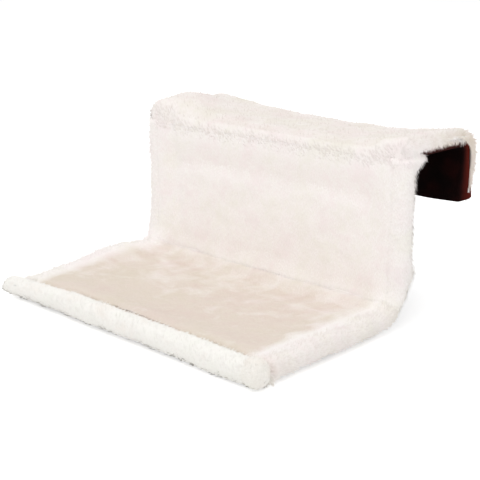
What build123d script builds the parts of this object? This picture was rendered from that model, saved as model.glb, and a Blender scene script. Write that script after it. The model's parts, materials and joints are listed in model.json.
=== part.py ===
"""A cat bed that hangs on a radiator: a plush cover on a frame of steel tube.

+X runs along the bed's width, +Y from the seat towards the radiator, and +Z is up.
The origin is the middle of the part's box at floor level, where the bed stands on its rolls.
A tube runs through each soft roll, and the seat and the backrest hang between the rolls.
The hook rod slides in the two top arms, so that the bed fits radiators of several depths.
"""

from build123d import *
from math import cos, degrees, radians, sin, sqrt
import os

# Overall sizes, in millimetres
bed_width = 450.0
seat_depth = 252.0  # front bar axis to upright axis
back_height = 201.0  # seat tube axis to top arm axis
channel_depth = 108.0  # clear depth for the radiator, with the hook pushed in
flap_drop = 82.0  # top arm axis to the lower edge of the rear flap

# Steel tube frame
tube_od = 16.0
tube_wall = 1.2
corner_bend = 40.0  # radius of a side tube's axis, at the back of the seat
spigot_length = 34.0
spigot_wall = 1.2
joint_height = 92.0  # seat tube axis to the joint in the upright
arm_wall = 1.5
arm_front = 12.0  # upright axis to the arm's front end
arm_back = 68.0  # upright axis to the arm's open end
strap_width = 20.0
strap_thick = 3.0
strap_height = 54.0  # seat tube axis to the strap's middle

# Hook rod
rod_dia = 8.0
rod_bend = 12.0
rod_stand = 1.3  # lining to the rod, which lets the rod's bend clear the lining's corner
rod_start = 15.0  # upright axis to the rod's inner end
rod_edge = 10.0  # flap's lower edge to the rod's axis

# Clearances
slip = 0.05  # plug or screw in its bore, on the radius
seat_gap = 0.3  # between a soft piece and what it lies on
seam_gap = 0.3  # between two soft pieces that are sewn together
weld_bite = 0.6  # how far a welded boss enters the tube's wall
overrun = 2.0  # how far a cut runs past what it cuts

# Fasteners
m6_dia = 6.0
m6_hole = 6.6
m6_head = 11.0
m6_head_tall = 3.5
m6_grip = 14.0  # thread in the insert
insert_length = 18.0
m5_dia = 5.0
m5_hole = 5.5
m5_head = 9.0
m5_head_tall = 3.0
nut_across = 8.0
nut_tall = 4.0
nut_tail = 1.0  # thread past the nut
hex_socket = 3.0
hex_socket_deep = 1.6

# Plastic fittings
cap_plug = 5.0
cap_head = 2.5
cap_round = 1.8
arm_cap_plug = 4.0
bush_length = 8.0
bush_flange = 2.0
bush_clearance = 0.1  # hook rod in its bush, on the radius
glide_length = 6.0
glide_end = 1.5
glide_gap = 0.2  # glide in the arm's bore, on the radius

# Clamp screws
clamp_place = 56.0  # upright axis to the screw's axis
boss_dia = 10.0
boss_tall = 6.0
knob_dia = 10.0
knob_tall = 8.0
knob_gap = 0.4
knob_socket = 6.0  # how far the screw enters the knob
knob_grooves = 16
knob_groove = 1.0
screw_tip_gap = 0.1

# Plush rolls
roll_radius = 17.0
roll_end_round = 8.0
roll_end_wall = 5.0
floor_flat = 0.5  # depth of the flat that each roll stands on

# Padded seat and backrest, as heights from the tube axis towards the lying side
panel_rise = 12.0
panel_edge = 8.0  # thickness beside the rolls
panel_crown = 2.0  # extra thickness in the middle
wadding_thick = 4.0
seat_sag = 6.0
back_sag = 4.0
lining_thick = 1.2
seat_lining_drop = 9.0
back_lining_drop = 12.0
strip_width = 20.0
strip_thick = 1.5
strip_inset = 22.0  # side tube axes to the ends of the closing strips
strip_place = 20.0  # front bar axis to the closing strips

# Hook cover and rear flap
cover_overhang = 15.0  # past the arm axis at each end
cover_side = 6.5
cover_corner = 12.0
cover_top = 9.0
top_sag = 13.0
cover_front = 17.0  # upright axis to the front face
cover_front_wall = 4.7
cover_front_round = 16.0
cover_split = 98.0  # upright axis to the seam between hook cover and rear flap
flap_thick = 7.0
flap_taper = 4.0  # how much thinner the flap is at its lower edge
flap_round = 20.0
flap_corner = 20.0
flap_side_round = 11.0
fold_count = 9  # soft upright folds in the flap's lining
fold_depth = 1.0

# Places that follow from the sizes above
tube_r = tube_od / 2
tube_bore = tube_r - tube_wall
arm_bore = tube_r - arm_wall
sleeve_bore = tube_r + seat_gap
rod_r = rod_dia / 2
side_x = bed_width / 2 - roll_radius
cover_half = side_x + cover_overhang
bar_half = bed_width / 2 - roll_end_wall - seat_gap - cap_head
face_offset = roll_radius + channel_depth
leg_offset = face_offset + 2 * fold_depth + lining_thick + rod_stand + rod_r
box_depth = roll_radius + seat_depth + leg_offset + rod_r + seat_gap + flap_thick
y_front = roll_radius - box_depth / 2
y_up = y_front + seat_depth
y_bend = y_up - corner_bend
y_clamp = y_up + clamp_place
y_split = y_up + cover_split
y_face = y_up + face_offset
y_leg = y_up + leg_offset
y_outer = y_leg + rod_r + seat_gap + flap_thick
y_strap = y_up + tube_r
z_seat = roll_radius - floor_flat
z_bend = z_seat + corner_bend
z_strap = z_seat + strap_height
z_joint = z_seat + joint_height
z_pin = z_joint + spigot_length / 2
z_arm = z_seat + back_height
z_top = z_arm + tube_r + seat_gap + cover_top
z_lining = z_arm - tube_r - seat_gap - lining_thick
z_flap = z_arm - flap_drop
z_rod_bar = z_flap + rod_edge
nut_r = nut_across / sqrt(3)

# The side tubes and the cloth bend a quarter turn, and the cloth has a seam halfway
bend_up = Axis((0, y_bend, z_bend), (1, 0, 0))
bend_down = Axis((0, y_bend, z_bend), (-1, 0, 0))
quarter_turn = 90.0
seam_turn = quarter_turn / 2 - degrees(seam_gap / 2 / corner_bend)


def bar_x(radius, x_from, x_to, y, z):
    """A round bar along X."""
    bar = Cylinder(radius, abs(x_to - x_from), rotation=(0, 90, 0))
    return Pos((x_from + x_to) / 2, y, z) * bar


def bar_y(radius, y_from, y_to, x, z):
    """A round bar along Y."""
    bar = Cylinder(radius, abs(y_to - y_from), rotation=(90, 0, 0))
    return Pos(x, (y_from + y_to) / 2, z) * bar


def bar_z(radius, z_from, z_to, x, y):
    """A round bar along Z."""
    return Pos(x, y, (z_from + z_to) / 2) * Cylinder(radius, abs(z_to - z_from))


def block(x_from, x_to, y_from, y_to, z_from, z_to):
    """A box between two corners."""
    centre = Pos((x_from + x_to) / 2, (y_from + y_to) / 2, (z_from + z_to) / 2)
    return centre * Box(abs(x_to - x_from), abs(y_to - y_from), abs(z_to - z_from))


def hexagon_x(across, x_from, x_to, y, z):
    """A hexagonal bar along X, measured across its flats."""
    placed = Plane.YZ.offset(min(x_from, x_to)) * (Pos(y, z) * RegularPolygon(across / sqrt(3), 6))
    return extrude(placed, abs(x_to - x_from), dir=(1, 0, 0))


def hexagon_y(across, y_from, y_to, x, z):
    """A hexagonal bar along Y, measured across its flats."""
    placed = Plane.XZ.offset(-min(y_from, y_to)) * (Pos(x, z) * RegularPolygon(across / sqrt(3), 6))
    return extrude(placed, abs(y_to - y_from), dir=(0, 1, 0))


def outline(*lines):
    """A face inside a closed run of lines and arcs."""
    return make_face([edge for line in lines for edge in line.edges()])


def above_floor(shape):
    """The shape with what lies below floor level cut off."""
    return shape - block(-bed_width, bed_width, -box_depth, box_depth, -bed_width, 0)


def seat_route(radius, x, turn):
    """A round bar along a side tube's axis: back along the seat, then round the corner by turn."""
    section = Plane.XZ.offset(-y_bend) * (Pos(x, z_seat) * Circle(radius))
    return bar_y(radius, y_front, y_bend, x, z_seat) + revolve(section, bend_up, turn)


def back_route(radius, x, turn, z_to):
    """A round bar round the last part of the corner, by turn, and then up to z_to."""
    section = Plane.XY.offset(z_bend) * (Pos(x, y_up) * Circle(radius))
    return revolve(section, bend_down, turn) + bar_z(radius, z_bend, z_to, x, y_up)


def side_route(radius, x, z_to):
    """A round bar along the whole of a side tube's axis, up to z_to."""
    return seat_route(radius, x, quarter_turn) + bar_z(radius, z_bend, z_to, x, y_up)


# Frame


def front_bar():
    """Straight tube inside the front roll, drilled for its two bolts."""
    bar = bar_x(tube_r, -bar_half, bar_half, y_front, z_seat)
    bar -= bar_x(tube_bore, -bar_half - overrun, bar_half + overrun, y_front, z_seat)
    for side in (-1, 1):
        bar -= bar_y(m6_hole / 2, y_front - tube_od, y_front + tube_od, side * side_x, z_seat)
    return bar


def front_bar_caps():
    """Plastic plug with a domed head, in each end of the front bar."""
    caps = []
    for side in (-1, 1):
        end = side * bar_half
        plug = bar_x(tube_bore - slip, end - side * cap_plug, end, y_front, z_seat)
        head = bar_x(tube_r, end, end + side * cap_head, y_front, z_seat)
        rim = head.edges().filter_by(GeomType.CIRCLE).sort_by(Axis.X)[-1 if side > 0 else 0]
        caps.append(plug + fillet(rim, cap_round))
    return Compound(children=caps)


def side_tube(side):
    """Tube from the front bar to the back, bent upwards, with a narrower spigot on top."""
    x = side * side_x
    spigot_r = tube_bore - slip
    spigot_bore = spigot_r - spigot_wall
    z_spigot = z_joint + spigot_length
    z_neck = z_joint - tube_wall
    tube = side_route(tube_r, x, z_joint) + bar_z(spigot_r, z_neck, z_spigot, x, y_up)
    tube -= side_route(tube_bore, x, z_neck) + bar_z(spigot_bore, z_bend, z_spigot + overrun, x, y_up)
    tube -= bar_x(tube_r + slip, x - tube_od, x + tube_od, y_front, z_seat)
    tube -= bar_y(m5_hole / 2, y_up - tube_od, y_up + tube_od, x, z_strap)
    return tube - bar_x(m5_hole / 2, x - tube_od, x + tube_od, y_up, z_pin)


def side_tube_inserts():
    """Threaded plug in the front end of each side tube."""
    inserts = []
    for side in (-1, 1):
        x = side * side_x
        y_end = y_front + tube_r + insert_length
        plug = bar_y(tube_bore - slip, y_front, y_end, x, z_seat)
        plug -= bar_x(tube_r + slip, x - tube_od, x + tube_od, y_front, z_seat)
        inserts.append(plug - bar_y(m6_dia / 2 + slip, y_front, y_end + overrun, x, z_seat))
    return Compound(children=inserts)


def front_bolts():
    """Bolts through the front bar into the side tubes."""
    bolts = []
    for side in (-1, 1):
        x = side * side_x
        y_seat = y_front - tube_r
        y_head = y_seat - m6_head_tall
        bolt = bar_y(m6_dia / 2, y_seat, y_front + tube_r + m6_grip, x, z_seat)
        bolt += bar_y(m6_head / 2, y_head, y_seat, x, z_seat)
        bolts.append(bolt - hexagon_y(hex_socket, y_head, y_head + hex_socket_deep, x, z_seat))
    return Compound(children=bolts)


def upright(side):
    """Upper tube, with the top arm and the clamp boss welded to it."""
    x = side * side_x
    post = bar_z(tube_r, z_joint + slip, z_arm, x, y_up) - bar_z(tube_bore, z_joint, z_arm, x, y_up)
    arm = bar_y(tube_r, y_up - arm_front, y_up + arm_back, x, z_arm)
    x_boss = x - side * (tube_r + boss_tall)
    boss = bar_x(boss_dia / 2, x - side * (tube_r - weld_bite), x_boss, y_clamp, z_arm)
    frame = post + arm + boss
    frame -= bar_y(arm_bore, y_up - arm_front - overrun, y_up + arm_back + overrun, x, z_arm)
    frame -= bar_x(m5_dia / 2 + slip, x, x_boss - side * overrun, y_clamp, z_arm)
    return frame - bar_x(m5_hole / 2, x - tube_od, x + tube_od, y_up, z_pin)


def joint_bolts():
    """Bolts across the joint in each upright, with their heads outwards."""
    bolts = []
    for side in (-1, 1):
        x_seat = side * (side_x + tube_r)
        x_head = x_seat + side * m5_head_tall
        x_tail = side * (side_x - tube_r - nut_tall - nut_tail)
        bolt = bar_x(m5_dia / 2, x_tail, x_seat, y_up, z_pin)
        bolt += bar_x(m5_head / 2, x_seat, x_head, y_up, z_pin)
        bolts.append(bolt - hexagon_x(hex_socket, x_head - side * hex_socket_deep, x_head, y_up, z_pin))
    return Compound(children=bolts)


def joint_nuts():
    """Nuts on the joint bolts, on the inner side of each upright."""
    nuts = []
    for side in (-1, 1):
        x_seat = side * (side_x - tube_r)
        nut = hexagon_x(nut_across, x_seat - side * nut_tall, x_seat, y_up, z_pin)
        nuts.append(nut - bar_x(m5_dia / 2 + slip, x_seat - side * tube_od, x_seat, y_up, z_pin))
    return Compound(children=nuts)


def rear_strap():
    """Flat bar across the backs of the side tubes, which keeps them apart."""
    half = side_x + strap_width / 2
    half_tall = strap_width / 2
    strap = block(-half, half, y_strap, y_strap + strap_thick, z_strap - half_tall, z_strap + half_tall)
    strap = fillet(strap.edges().filter_by(Axis.Y), strap_width / 4)
    for side in (-1, 1):
        strap -= bar_y(m5_hole / 2, y_up, y_strap + strap_thick + overrun, side * side_x, z_strap)
    return strap


def strap_bolts():
    """Bolts through the strap and the side tubes, put in from behind."""
    bolts = []
    for side in (-1, 1):
        x = side * side_x
        y_seat = y_strap + strap_thick
        y_head = y_seat + m5_head_tall
        bolt = bar_y(m5_dia / 2, y_up - tube_r - nut_tall - nut_tail, y_seat, x, z_strap)
        bolt += bar_y(m5_head / 2, y_seat, y_head, x, z_strap)
        bolts.append(bolt - hexagon_y(hex_socket, y_head - hex_socket_deep, y_head, x, z_strap))
    return Compound(children=bolts)


def strap_nuts():
    """Nuts on the strap's bolts, on the lying side of the side tubes."""
    nuts = []
    for side in (-1, 1):
        x = side * side_x
        y_seat = y_up - tube_r
        nut = hexagon_y(nut_across, y_seat - nut_tall, y_seat, x, z_strap)
        nuts.append(nut - bar_y(m5_dia / 2 + slip, y_seat - tube_od, y_seat, x, z_strap))
    return Compound(children=nuts)


def arm_caps():
    """Plastic plug in the front end of each top arm."""
    y_end = y_up - arm_front
    return Compound(
        children=[bar_y(arm_bore - slip, y_end, y_end + arm_cap_plug, s * side_x, z_arm) for s in (-1, 1)]
    )


def arm_bushes():
    """Flanged plastic bush in the open end of each top arm, which guides the hook rod."""
    bushes = []
    for side in (-1, 1):
        x = side * side_x
        y_mouth = y_up + arm_back
        bush = bar_y(arm_bore - slip, y_mouth - bush_length, y_mouth, x, z_arm)
        bush += bar_y(tube_r, y_mouth, y_mouth + bush_flange, x, z_arm)
        bushes.append(bush - bar_y(rod_r + bush_clearance, y_mouth - tube_od, y_mouth + tube_od, x, z_arm))
    return Compound(children=bushes)


# Hook


def hook_rod():
    """One steel rod: out of the left arm, down behind the radiator, across, and back to the right arm."""
    y_in = y_up + rod_start
    corners = [
        (-side_x, y_in, z_arm),
        (-side_x, y_leg, z_arm),
        (-side_x, y_leg, z_rod_bar),
        (side_x, y_leg, z_rod_bar),
        (side_x, y_leg, z_arm),
        (side_x, y_in, z_arm),
    ]
    section = Plane(origin=corners[0], z_dir=(0, 1, 0)) * Circle(rod_r)
    return sweep(section, path=FilletPolyline(*corners, radius=rod_bend))


def rod_glides():
    """Plastic glide on each inner end of the hook rod, which runs in the arm's bore."""
    glides = []
    for side in (-1, 1):
        x = side * side_x
        y_in = y_up + rod_start
        glide = bar_y(arm_bore - glide_gap, y_in - glide_end, y_in + glide_length, x, z_arm)
        glides.append(glide - bar_y(rod_r + slip, y_in, y_in + glide_length + overrun, x, z_arm))
    return Compound(children=glides)


def clamp_screw(side):
    """Threaded screw in the arm's boss, whose tip holds the hook rod."""
    x = side * side_x
    x_knob = x - side * (tube_r + boss_tall + knob_gap)
    return bar_x(m5_dia / 2, x - side * (rod_r + screw_tip_gap), x_knob - side * knob_socket, y_clamp, z_arm)


def clamp_knob(side):
    """Moulded grip on the clamp screw, with grooves for the fingers."""
    x_knob = side * (side_x - tube_r - boss_tall - knob_gap)
    x_end = x_knob - side * knob_tall
    knob = bar_x(knob_dia / 2, x_knob, x_end, y_clamp, z_arm)
    for i in range(knob_grooves):
        turn = radians(360 * i / knob_grooves)
        y = y_clamp + knob_dia / 2 * cos(turn)
        z = z_arm + knob_dia / 2 * sin(turn)
        knob -= bar_x(knob_groove / 2, x_knob + side * overrun, x_end - side * overrun, y, z)
    x_socket = x_knob - side * knob_socket
    return knob - bar_x(m5_dia / 2 + slip, x_knob + side * overrun, x_socket, y_clamp, z_arm)


# Rolls of the cover


def front_roll():
    """Plush roll over the front bar, closed at both ends, with a round rim."""
    roll = bar_x(roll_radius, -bed_width / 2, bed_width / 2, y_front, z_seat)
    roll = fillet(roll.edges().filter_by(GeomType.CIRCLE), roll_end_round)
    half = bed_width / 2 - roll_end_wall
    roll -= bar_x(sleeve_bore, -half, half, y_front, z_seat)
    y_head = y_front - tube_r - m6_head_tall - seat_gap
    for side in (-1, 1):
        x = side * side_x
        roll -= bar_y(sleeve_bore + seam_gap, y_front, y_front + roll_radius + overrun, x, z_seat)
        roll -= bar_y(m6_head / 2 + seat_gap, y_head, y_front, x, z_seat)
    return above_floor(roll)


def seat_roll(side):
    """Plush roll over a side tube, from the front roll to the seam in the corner."""
    x = side * side_x
    roll = seat_route(roll_radius, x, seam_turn) - seat_route(sleeve_bore, x, quarter_turn)
    reach = roll_radius + overrun
    roll -= bar_x(roll_radius + seam_gap, x - reach, x + reach, y_front, z_seat)
    return above_floor(roll)


def back_roll(side):
    """Plush roll over the upright, from the seam in the corner to the hook cover."""
    x = side * side_x
    z_end = z_lining - seam_gap
    roll = back_route(roll_radius, x, seam_turn, z_end)
    roll -= back_route(sleeve_bore, x, quarter_turn, z_end + overrun)
    half_tall = strap_width / 2 + seat_gap
    z_low, z_high = z_strap - half_tall, z_strap + half_tall
    y_slot = y_strap + strap_thick + seat_gap
    roll -= block(0, x + side * half_tall, y_strap - seat_gap, y_slot, z_low, z_high)
    roll -= bar_y(m5_head / 2 + seat_gap, y_up, y_slot + m5_head_tall, x, z_strap)
    nut_reach = tube_r + nut_tall + nut_tail + seat_gap
    roll -= bar_y(nut_r + seat_gap, y_up - nut_reach, y_up, x, z_strap)
    roll -= bar_x(m5_head / 2 + seat_gap, x, x + side * (sleeve_bore + m5_head_tall), y_up, z_pin)
    return roll - bar_x(nut_r + seat_gap, x - side * nut_reach, x, y_up, z_pin)


# Padded seat and backrest


def padded_section(rise, edge, crown, sag):
    """Section across a padded layer, in X and in height over the tube axis, hanging between the rolls."""
    low = rise - edge
    return outline(
        ThreePointArc((-side_x, rise), (0, rise - sag), (side_x, rise)),
        Line((side_x, rise), (side_x, low)),
        ThreePointArc((side_x, low), (0, low - sag - crown), (-side_x, low)),
        Line((-side_x, low), (-side_x, rise)),
    )


def panel_section(sag):
    """Section across a plush panel, thicker in the middle than beside the rolls."""
    return padded_section(panel_rise, panel_edge, panel_crown, sag)


def wadding_section(sag):
    """Section across the wadding under a plush panel."""
    return padded_section(panel_rise - panel_edge - seat_gap, wadding_thick, 0, sag + panel_crown)


def lining_section(drop):
    """Section across a flat lining on the far side of the tubes."""
    return Pos(0, -drop - lining_thick / 2) * Rectangle(2 * side_x, lining_thick)


def seat_sheet(section):
    """A layer of the seat: the section run along the seat and round the corner to the seam."""
    placed = Plane.XZ.offset(-y_bend) * (Pos(0, z_seat) * section)
    sheet = extrude(placed, y_bend - y_front, dir=(0, -1, 0)) + revolve(placed, bend_up, seam_turn)
    sheet -= bar_x(roll_radius + seam_gap, -bed_width / 2, bed_width / 2, y_front, z_seat)
    for side in (-1, 1):
        sheet -= seat_route(roll_radius + seam_gap, side * side_x, quarter_turn)
    return sheet


def back_sheet(section):
    """A layer of the backrest: the section run round the corner from the seam, and up to the arms."""
    z_end = z_lining - seam_gap
    placed = Plane(origin=(0, y_up, z_bend), x_dir=(1, 0, 0), z_dir=(0, 0, -1)) * section
    sheet = extrude(placed, z_end - z_bend, dir=(0, 0, 1)) + revolve(placed, bend_down, seam_turn)
    for side in (-1, 1):
        sheet -= back_route(roll_radius + seam_gap, side * side_x, quarter_turn, z_end + overrun)
    return sheet


def closing_strip(layer):
    """One strip of the cover's closing, under the seat behind the front roll."""
    half = side_x - strip_inset
    z_high = z_seat - seat_lining_drop - lining_thick - seat_gap - layer * (strip_thick + seat_gap)
    y_from = y_front + strip_place
    return block(-half, half, y_from, y_from + strip_width, z_high - strip_thick, z_high)


# Hook cover and rear flap


def cover_run(side_inset, top_inset, y_from, y_to):
    """The hook cover's section run along Y. Its top sags between the arms."""
    half = cover_half - side_inset
    high = z_top - top_inset
    section = outline(
        Line((-half, z_lining), (-half, high)),
        Line((-half, high), (-side_x, high)),
        ThreePointArc((-side_x, high), (0, high - top_sag), (side_x, high)),
        Line((side_x, high), (half, high)),
        Line((half, high), (half, z_lining)),
        Line((half, z_lining), (-half, z_lining)),
    )
    shoulders = section.vertices().group_by(Axis.Y)[-1].sort_by(Axis.X)
    section = fillet([shoulders[0], shoulders[-1]], cover_corner - side_inset)
    return extrude(Plane.XZ.offset(-y_from) * section, y_to - y_from, dir=(0, 1, 0))


def side_view(points, rounded, radius):
    """A face through points in Y and Z, with one corner rounded, run across the whole cover."""
    face = Polygon(*points, align=None)
    corner = face.vertices().sort_by_distance(rounded)[0]
    return extrude(Plane.YZ * fillet(corner, radius), cover_half, both=True)


def hook_cover():
    """Plush over the two arms, with its front wall and its ends."""
    y_from = y_up - cover_front
    y_to = y_split - seam_gap
    corner = (y_from, z_top)
    points = [corner, (y_to, z_top), (y_to, z_lining), (y_from, z_lining)]
    cover = cover_run(0, 0, y_from, y_to) & side_view(points, corner, cover_front_round)
    return cover - cover_run(cover_side, cover_top, y_from + cover_front_wall, y_to + overrun)


def channel_lining():
    """Flat lining under the arms, which lies on top of the radiator, with its thin hem over the back rolls."""
    half = cover_half - cover_side - seam_gap
    y_flat = y_up + roll_radius + seam_gap
    z_high = z_lining + lining_thick
    flat = block(-half, half, y_flat, y_split - seam_gap, z_lining, z_high)
    return flat + block(-half, half, y_up + sleeve_bore, y_flat, z_lining + seam_gap, z_high)


def flap_shape(inset, y_from, y_to):
    """The flap's outline seen from behind, with round lower corners, run along Y."""
    half = cover_half - inset
    low = z_flap + inset
    outer = Pos(0, (z_arm + low) / 2) * Rectangle(2 * half, z_arm - low)
    outer = fillet(outer.vertices().group_by(Axis.Y)[0], flap_corner - inset)
    return extrude(Plane.XZ.offset(-y_from) * outer, y_to - y_from, dir=(0, 1, 0))


def flap_plan():
    """The flap's outline seen from above, with round rear corners, at full height."""
    plan = Pos(0, (y_split + y_outer) / 2) * Rectangle(2 * cover_half, y_outer - y_split)
    plan = fillet(plan.vertices().group_by(Axis.Y)[-1], flap_side_round)
    return extrude(Plane.XY.offset(z_flap) * plan, z_top - z_flap, dir=(0, 0, 1))


def rear_flap():
    """Plush over the hook rod's bends and down behind the radiator."""
    y_inner = y_leg - rod_r
    y_pocket = y_leg + rod_r + seat_gap
    corner = (y_outer, z_top)
    points = [
        (y_split, z_lining),
        (y_split, z_top),
        corner,
        (y_outer, z_lining),
        (y_outer - flap_taper, z_flap),
        (y_inner, z_flap),
        (y_inner, z_lining),
    ]
    flap = side_view(points, corner, flap_round)
    flap &= cover_run(0, 0, y_split, y_outer) + flap_shape(0, y_inner, y_outer)
    flap &= flap_plan()
    flap -= cover_run(cover_side, cover_top, y_split - overrun, y_pocket)
    return flap - flap_shape(rod_edge - rod_r - seat_gap, y_inner - overrun, y_pocket)


def rear_flap_lining():
    """Lining over the back of the radiator channel, with soft upright folds, and its strip on top."""
    half = cover_half - cover_side - seam_gap
    y_middle = y_face + fold_depth
    step = 2 * half / fold_count
    lines = []
    for y in (y_middle, y_middle + lining_thick):
        for i in range(fold_count):
            x = i * step - half
            bow = y + fold_depth if i % 2 else y - fold_depth
            lines.append(ThreePointArc((x, y), (x + step / 2, bow), (x + step, y)))
    lines += [Line((s * half, y_middle), (s * half, y_middle + lining_thick)) for s in (-1, 1)]
    z_high = z_lining + lining_thick
    hanging = extrude(Plane.XY.offset(z_flap) * outline(*lines), z_high - z_flap, dir=(0, 0, 1))
    hanging &= flap_shape(cover_side + seam_gap, y_face - overrun, y_leg)
    return hanging + block(-half, half, y_split, y_middle, z_lining, z_high)


parts = {
    "front_bar": front_bar(),
    "front_bar_caps": front_bar_caps(),
    "side_tube_inserts": side_tube_inserts(),
    "front_bolts": front_bolts(),
    "joint_bolts": joint_bolts(),
    "joint_nuts": joint_nuts(),
    "rear_strap": rear_strap(),
    "strap_bolts": strap_bolts(),
    "strap_nuts": strap_nuts(),
    "arm_caps": arm_caps(),
    "arm_bushes": arm_bushes(),
    "hook_rod": hook_rod(),
    "rod_glides": rod_glides(),
    "front_roll": front_roll(),
    "seat_panel": seat_sheet(panel_section(seat_sag)),
    "seat_wadding": seat_sheet(wadding_section(seat_sag)),
    "seat_lining": seat_sheet(lining_section(seat_lining_drop)),
    "back_panel": back_sheet(panel_section(back_sag)),
    "back_wadding": back_sheet(wadding_section(back_sag)),
    "back_lining": back_sheet(lining_section(back_lining_drop)),
    "loop_strip": closing_strip(0),
    "hook_strip": closing_strip(1),
    "hook_cover": hook_cover(),
    "channel_lining": channel_lining(),
    "rear_flap": rear_flap(),
    "rear_flap_lining": rear_flap_lining(),
}
for name, side in (("left", -1), ("right", 1)):
    parts[name + "_side_tube"] = side_tube(side)
    parts[name + "_upright"] = upright(side)
    parts[name + "_clamp_screw"] = clamp_screw(side)
    parts[name + "_clamp_knob"] = clamp_knob(side)
    parts[name + "_seat_roll"] = seat_roll(side)
    parts[name + "_back_roll"] = back_roll(side)

os.makedirs("parts", exist_ok=True)
for name, shape in parts.items():
    export_step(shape, f"parts/{name}.step")
print(f"{len(parts)} sub-parts, {bed_width:g} x {box_depth:g} x {z_top:g} mm")
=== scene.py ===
"""Looks of a plush cat bed that hangs on a radiator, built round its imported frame.

All lengths are in metres, in the frame's own axes: X along the bed, Y towards the radiator, Z up.
Skins of long pile plush stand for the cover's plain solids, each with its own grown pile.
Burgundy velour lines the hook, the seat and the backrest. The tubes and bolts inside stay as they are.
"""

import json
import math

import bmesh
import bpy
import numpy as np
from mathutils import Matrix, Vector, noise


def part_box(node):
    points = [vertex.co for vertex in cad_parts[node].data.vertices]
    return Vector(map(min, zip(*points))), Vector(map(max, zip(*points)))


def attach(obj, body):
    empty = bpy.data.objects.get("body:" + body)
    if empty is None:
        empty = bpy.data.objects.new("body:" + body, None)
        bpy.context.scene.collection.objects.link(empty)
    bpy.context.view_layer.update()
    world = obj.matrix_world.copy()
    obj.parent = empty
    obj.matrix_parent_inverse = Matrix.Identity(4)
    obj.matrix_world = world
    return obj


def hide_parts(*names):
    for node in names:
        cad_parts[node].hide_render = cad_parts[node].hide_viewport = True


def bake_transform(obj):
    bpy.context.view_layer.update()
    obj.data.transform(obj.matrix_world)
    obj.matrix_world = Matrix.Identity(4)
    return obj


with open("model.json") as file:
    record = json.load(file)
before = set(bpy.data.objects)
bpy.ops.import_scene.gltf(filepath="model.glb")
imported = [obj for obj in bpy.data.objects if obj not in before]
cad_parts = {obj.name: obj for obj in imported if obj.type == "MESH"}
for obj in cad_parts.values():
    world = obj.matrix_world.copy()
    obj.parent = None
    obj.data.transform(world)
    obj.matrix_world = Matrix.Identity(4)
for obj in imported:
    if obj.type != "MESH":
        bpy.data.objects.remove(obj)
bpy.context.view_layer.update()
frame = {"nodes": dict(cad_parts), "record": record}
scene = bpy.context.scene
mm = 0.001

# Places read from the frame
roll_low, roll_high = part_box("front_roll")
back_low, back_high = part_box("right_back_roll")
cover_low, cover_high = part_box("hook_cover")
flap_low, flap_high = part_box("rear_flap")
strap_low, strap_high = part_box("rear_strap")
roll_radius = (roll_high.y - roll_low.y) / 2
roll_half = roll_high.x
y_front = (roll_low.y + roll_high.y) / 2
z_seat = roll_high.z - roll_radius
side_x = (back_low.x + back_high.x) / 2
y_up = back_high.y - roll_radius
y_split = flap_low.y
z_top = cover_high.z
z_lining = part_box("channel_lining")[0].z
z_flap = flap_low.z
y_rear = flap_high.y
cover_half = cover_high.x

# Sizes that the frame's boxes don't give
corner_bend = 40 * mm  # radius of a side tube's axis at the back of the seat
pile_depth = 2.6 * mm  # from the solids' surface in to the backing that the pile grows on
panel_depth = 4.1 * mm  # the same on the panels, which the stuffing swells
roll_cover = 0.5 * mm  # thickness of the panels' plush over the side rolls
roll_wrap = 7 * mm  # how far it goes past the side tubes' axes
stretched = 36 * mm  # width of a panel's edge that is drawn out over the roll
front_level = 10.5 * mm  # height of the seat at the front roll
front_cover = 9 * mm  # how far the seat's plush runs over the front roll
corner_level = 7 * mm  # height of both panels over the tube axes in the corner
seam_reach = 2.5 * mm  # how far each panel fills the seam in the corner
seam_gap = 0.4 * mm  # between a roll's skin and the middle of the seam in the corner
sheet_gap = 0.3 * mm  # between a lining's edge and its seam
groove_depth = 6 * mm  # of the crease down the backrest beside the left roll
roll_end_round = 11 * mm  # round of the front roll's end rims
end_cap = 24 * mm  # length of the cap sewn into the front roll's right end
cap_fullness = 6 * mm  # how far the cap stands up over the roll
left_stretch = 13 * mm  # how far the front roll's left end stands past the solid
side_shoulder = 13.4 * mm  # round of the hook's front edge over the arms
middle_shoulder = 31 * mm  # and between them
rear_round = 22 * mm  # round of the hook's top over the flap
end_round = 12 * mm  # round of the hook's ends
hem_round = 3 * mm  # round of the flap's foot
hem = 7 * mm  # width of the flap's foot, turned in
flap_corner = 20 * mm  # round of the flap's lower corners
lining_corner = 7 * mm  # and of its lining's
flap_taper = 4 * mm  # how far the flap's foot stands in from its top
cover_wall = 2.2 * mm  # thickness of the hook's plush backing
cloth_wall = 0.8 * mm  # thickness of the velour
corner_droop = 5.5 * mm  # how far the left front corner hangs
rear_bulge = 4 * mm  # how far the flap stands out under the right arm
face_inset = 19.5 * mm  # from the flap's outer face in to the lining behind the radiator
rim_rise = 12 * mm  # lining to the rim of the hook's open end
rim_top, rim_low = 15 * mm, 2.6 * mm  # width of the flap's rim at its top and its foot
turned_edge = 12.5 * mm  # how far the lining's side edges turn away from the radiator
top_sag = 13.5 * mm  # how far the hook's top hangs between the arms
right_sag = 5 * mm  # extra sag beside the right arm
left_hump = 13.5 * mm  # fullness over the left arm
wall_lean = 8 * mm  # how far the hook's front wall stands back between the arms
arch_round = 30 * mm  # plush webbing between a back roll and the hook
grid_step = 4 * mm  # between the points of a skin
round_end = 0.98  # share of a round at which it stops, short of a sharp edge
floor_gap = 0.6 * mm  # the lowest that a skin comes to the floor
roll_lumps, roll_lump_height = 24 * mm, 1.3 * mm  # soft lumps of the rolls' stuffing

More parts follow.
